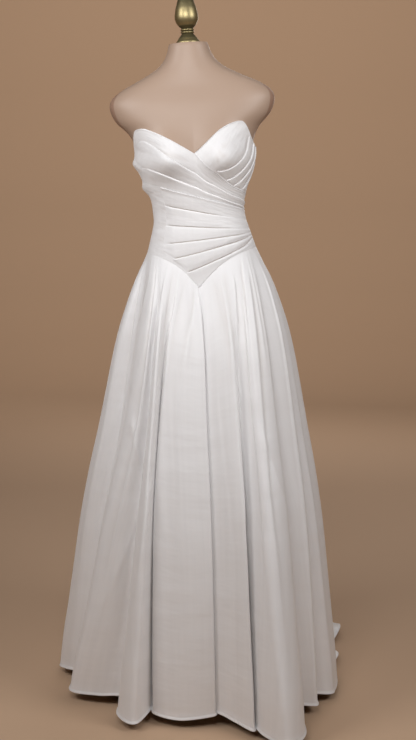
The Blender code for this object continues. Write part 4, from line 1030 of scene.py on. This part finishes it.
plated = nickel()
for node in ("zip_slider", "zip_pull"):
    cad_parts[node].material_slots[0].material = plated


# The studio: a plain pale floor that rises softly all round, a soft light high in front, one on each side of
# it, a weak one behind and one on the background. The camera stands at chest height, tipped down a little.
stage_colour = (0.57, 0.388, 0.256, 1.0)
# The floor's outline: distance from the middle, height
cove = ((3.6, 0.0), (4.6, 0.04), (5.4, 0.16), (6.1, 0.45), (6.7, 1.0), (7.05, 1.9), (7.2, 3.0), (7.25, 5.0))
floor_drop = 0.0005
turn = np.linspace(0.0, 2 * math.pi, 96, endpoint=False)
points = [(radius * math.cos(angle), radius * math.sin(angle), height - floor_drop)
          for radius, height in cove for angle in turn]
faces = [list(range(len(turn)))] + ring_faces(len(cove), len(turn))[:, ::-1].tolist()
floor = bpy.data.objects.new("studio_floor", make_mesh("studio_floor", points, faces, sharp=80.0))
bpy.context.scene.collection.objects.link(floor)
paper = Finish("studio_paper")
floor.data.materials.append(paper.set(Base_Color=stage_colour, Roughness=0.9))

world = bpy.data.worlds.new("studio_air")
bpy.context.scene.world = world
world.use_nodes = True
air = world.node_tree.nodes["Background"].inputs
air["Color"].default_value = (1.0, 0.93, 0.87, 1.0)
air["Strength"].default_value = 0.08


def soft_light(name, place, aim, size, power, colour, spread_angle=180.0):
    lamp = bpy.data.lights.new(name, "AREA")
    lamp.shape = "RECTANGLE"
    lamp.spread = math.radians(spread_angle)
    lamp.size, lamp.size_y = size
    lamp.energy = power
    lamp.color = colour
    holder = bpy.data.objects.new(name, lamp)
    bpy.context.scene.collection.objects.link(holder)
    holder.location = place
    holder.rotation_euler = (Vector(aim) - Vector(place)).to_track_quat("-Z", "Y").to_euler()


soft_light("key_light", (-0.25, -1.80, 2.05), (0.0, 0.0, 1.30), (0.9, 0.6), 9.6, (0.985, 0.99, 1.0), 130.0)
soft_light("left_light", (-1.6, -1.2, 2.15), (0.0, 0.0, 1.12), (1.0, 1.0), 11.2, (0.99, 0.99, 1.0), 130.0)
soft_light("right_light", (1.6, -1.2, 2.15), (0.0, 0.0, 1.12), (1.0, 1.0), 11.2, (0.99, 0.99, 1.0), 130.0)
soft_light("back_light", (0.5, 3.2, 1.9), (0.0, 0.2, 0.9), (2.2, 1.6), 20.0, (1.0, 0.98, 0.97))
soft_light("backdrop_light", (0.0, 3.4, 3.6), (0.0, 7.0, 2.2), (3.6, 1.0), 84.0, (1.0, 0.96, 0.92))

camera = bpy.data.objects.new("camera", bpy.data.cameras.new("camera"))
bpy.context.scene.collection.objects.link(camera)
camera.data.lens = 61.5
camera.data.sensor_width = 36.0
camera.location = (0.014, -3.0, 1.25)
camera.rotation_euler = (math.radians(90.0 - 8.73), 0.0, 0.0)
bpy.context.scene.camera = camera
bpy.context.scene.view_settings.view_transform = "Standard"
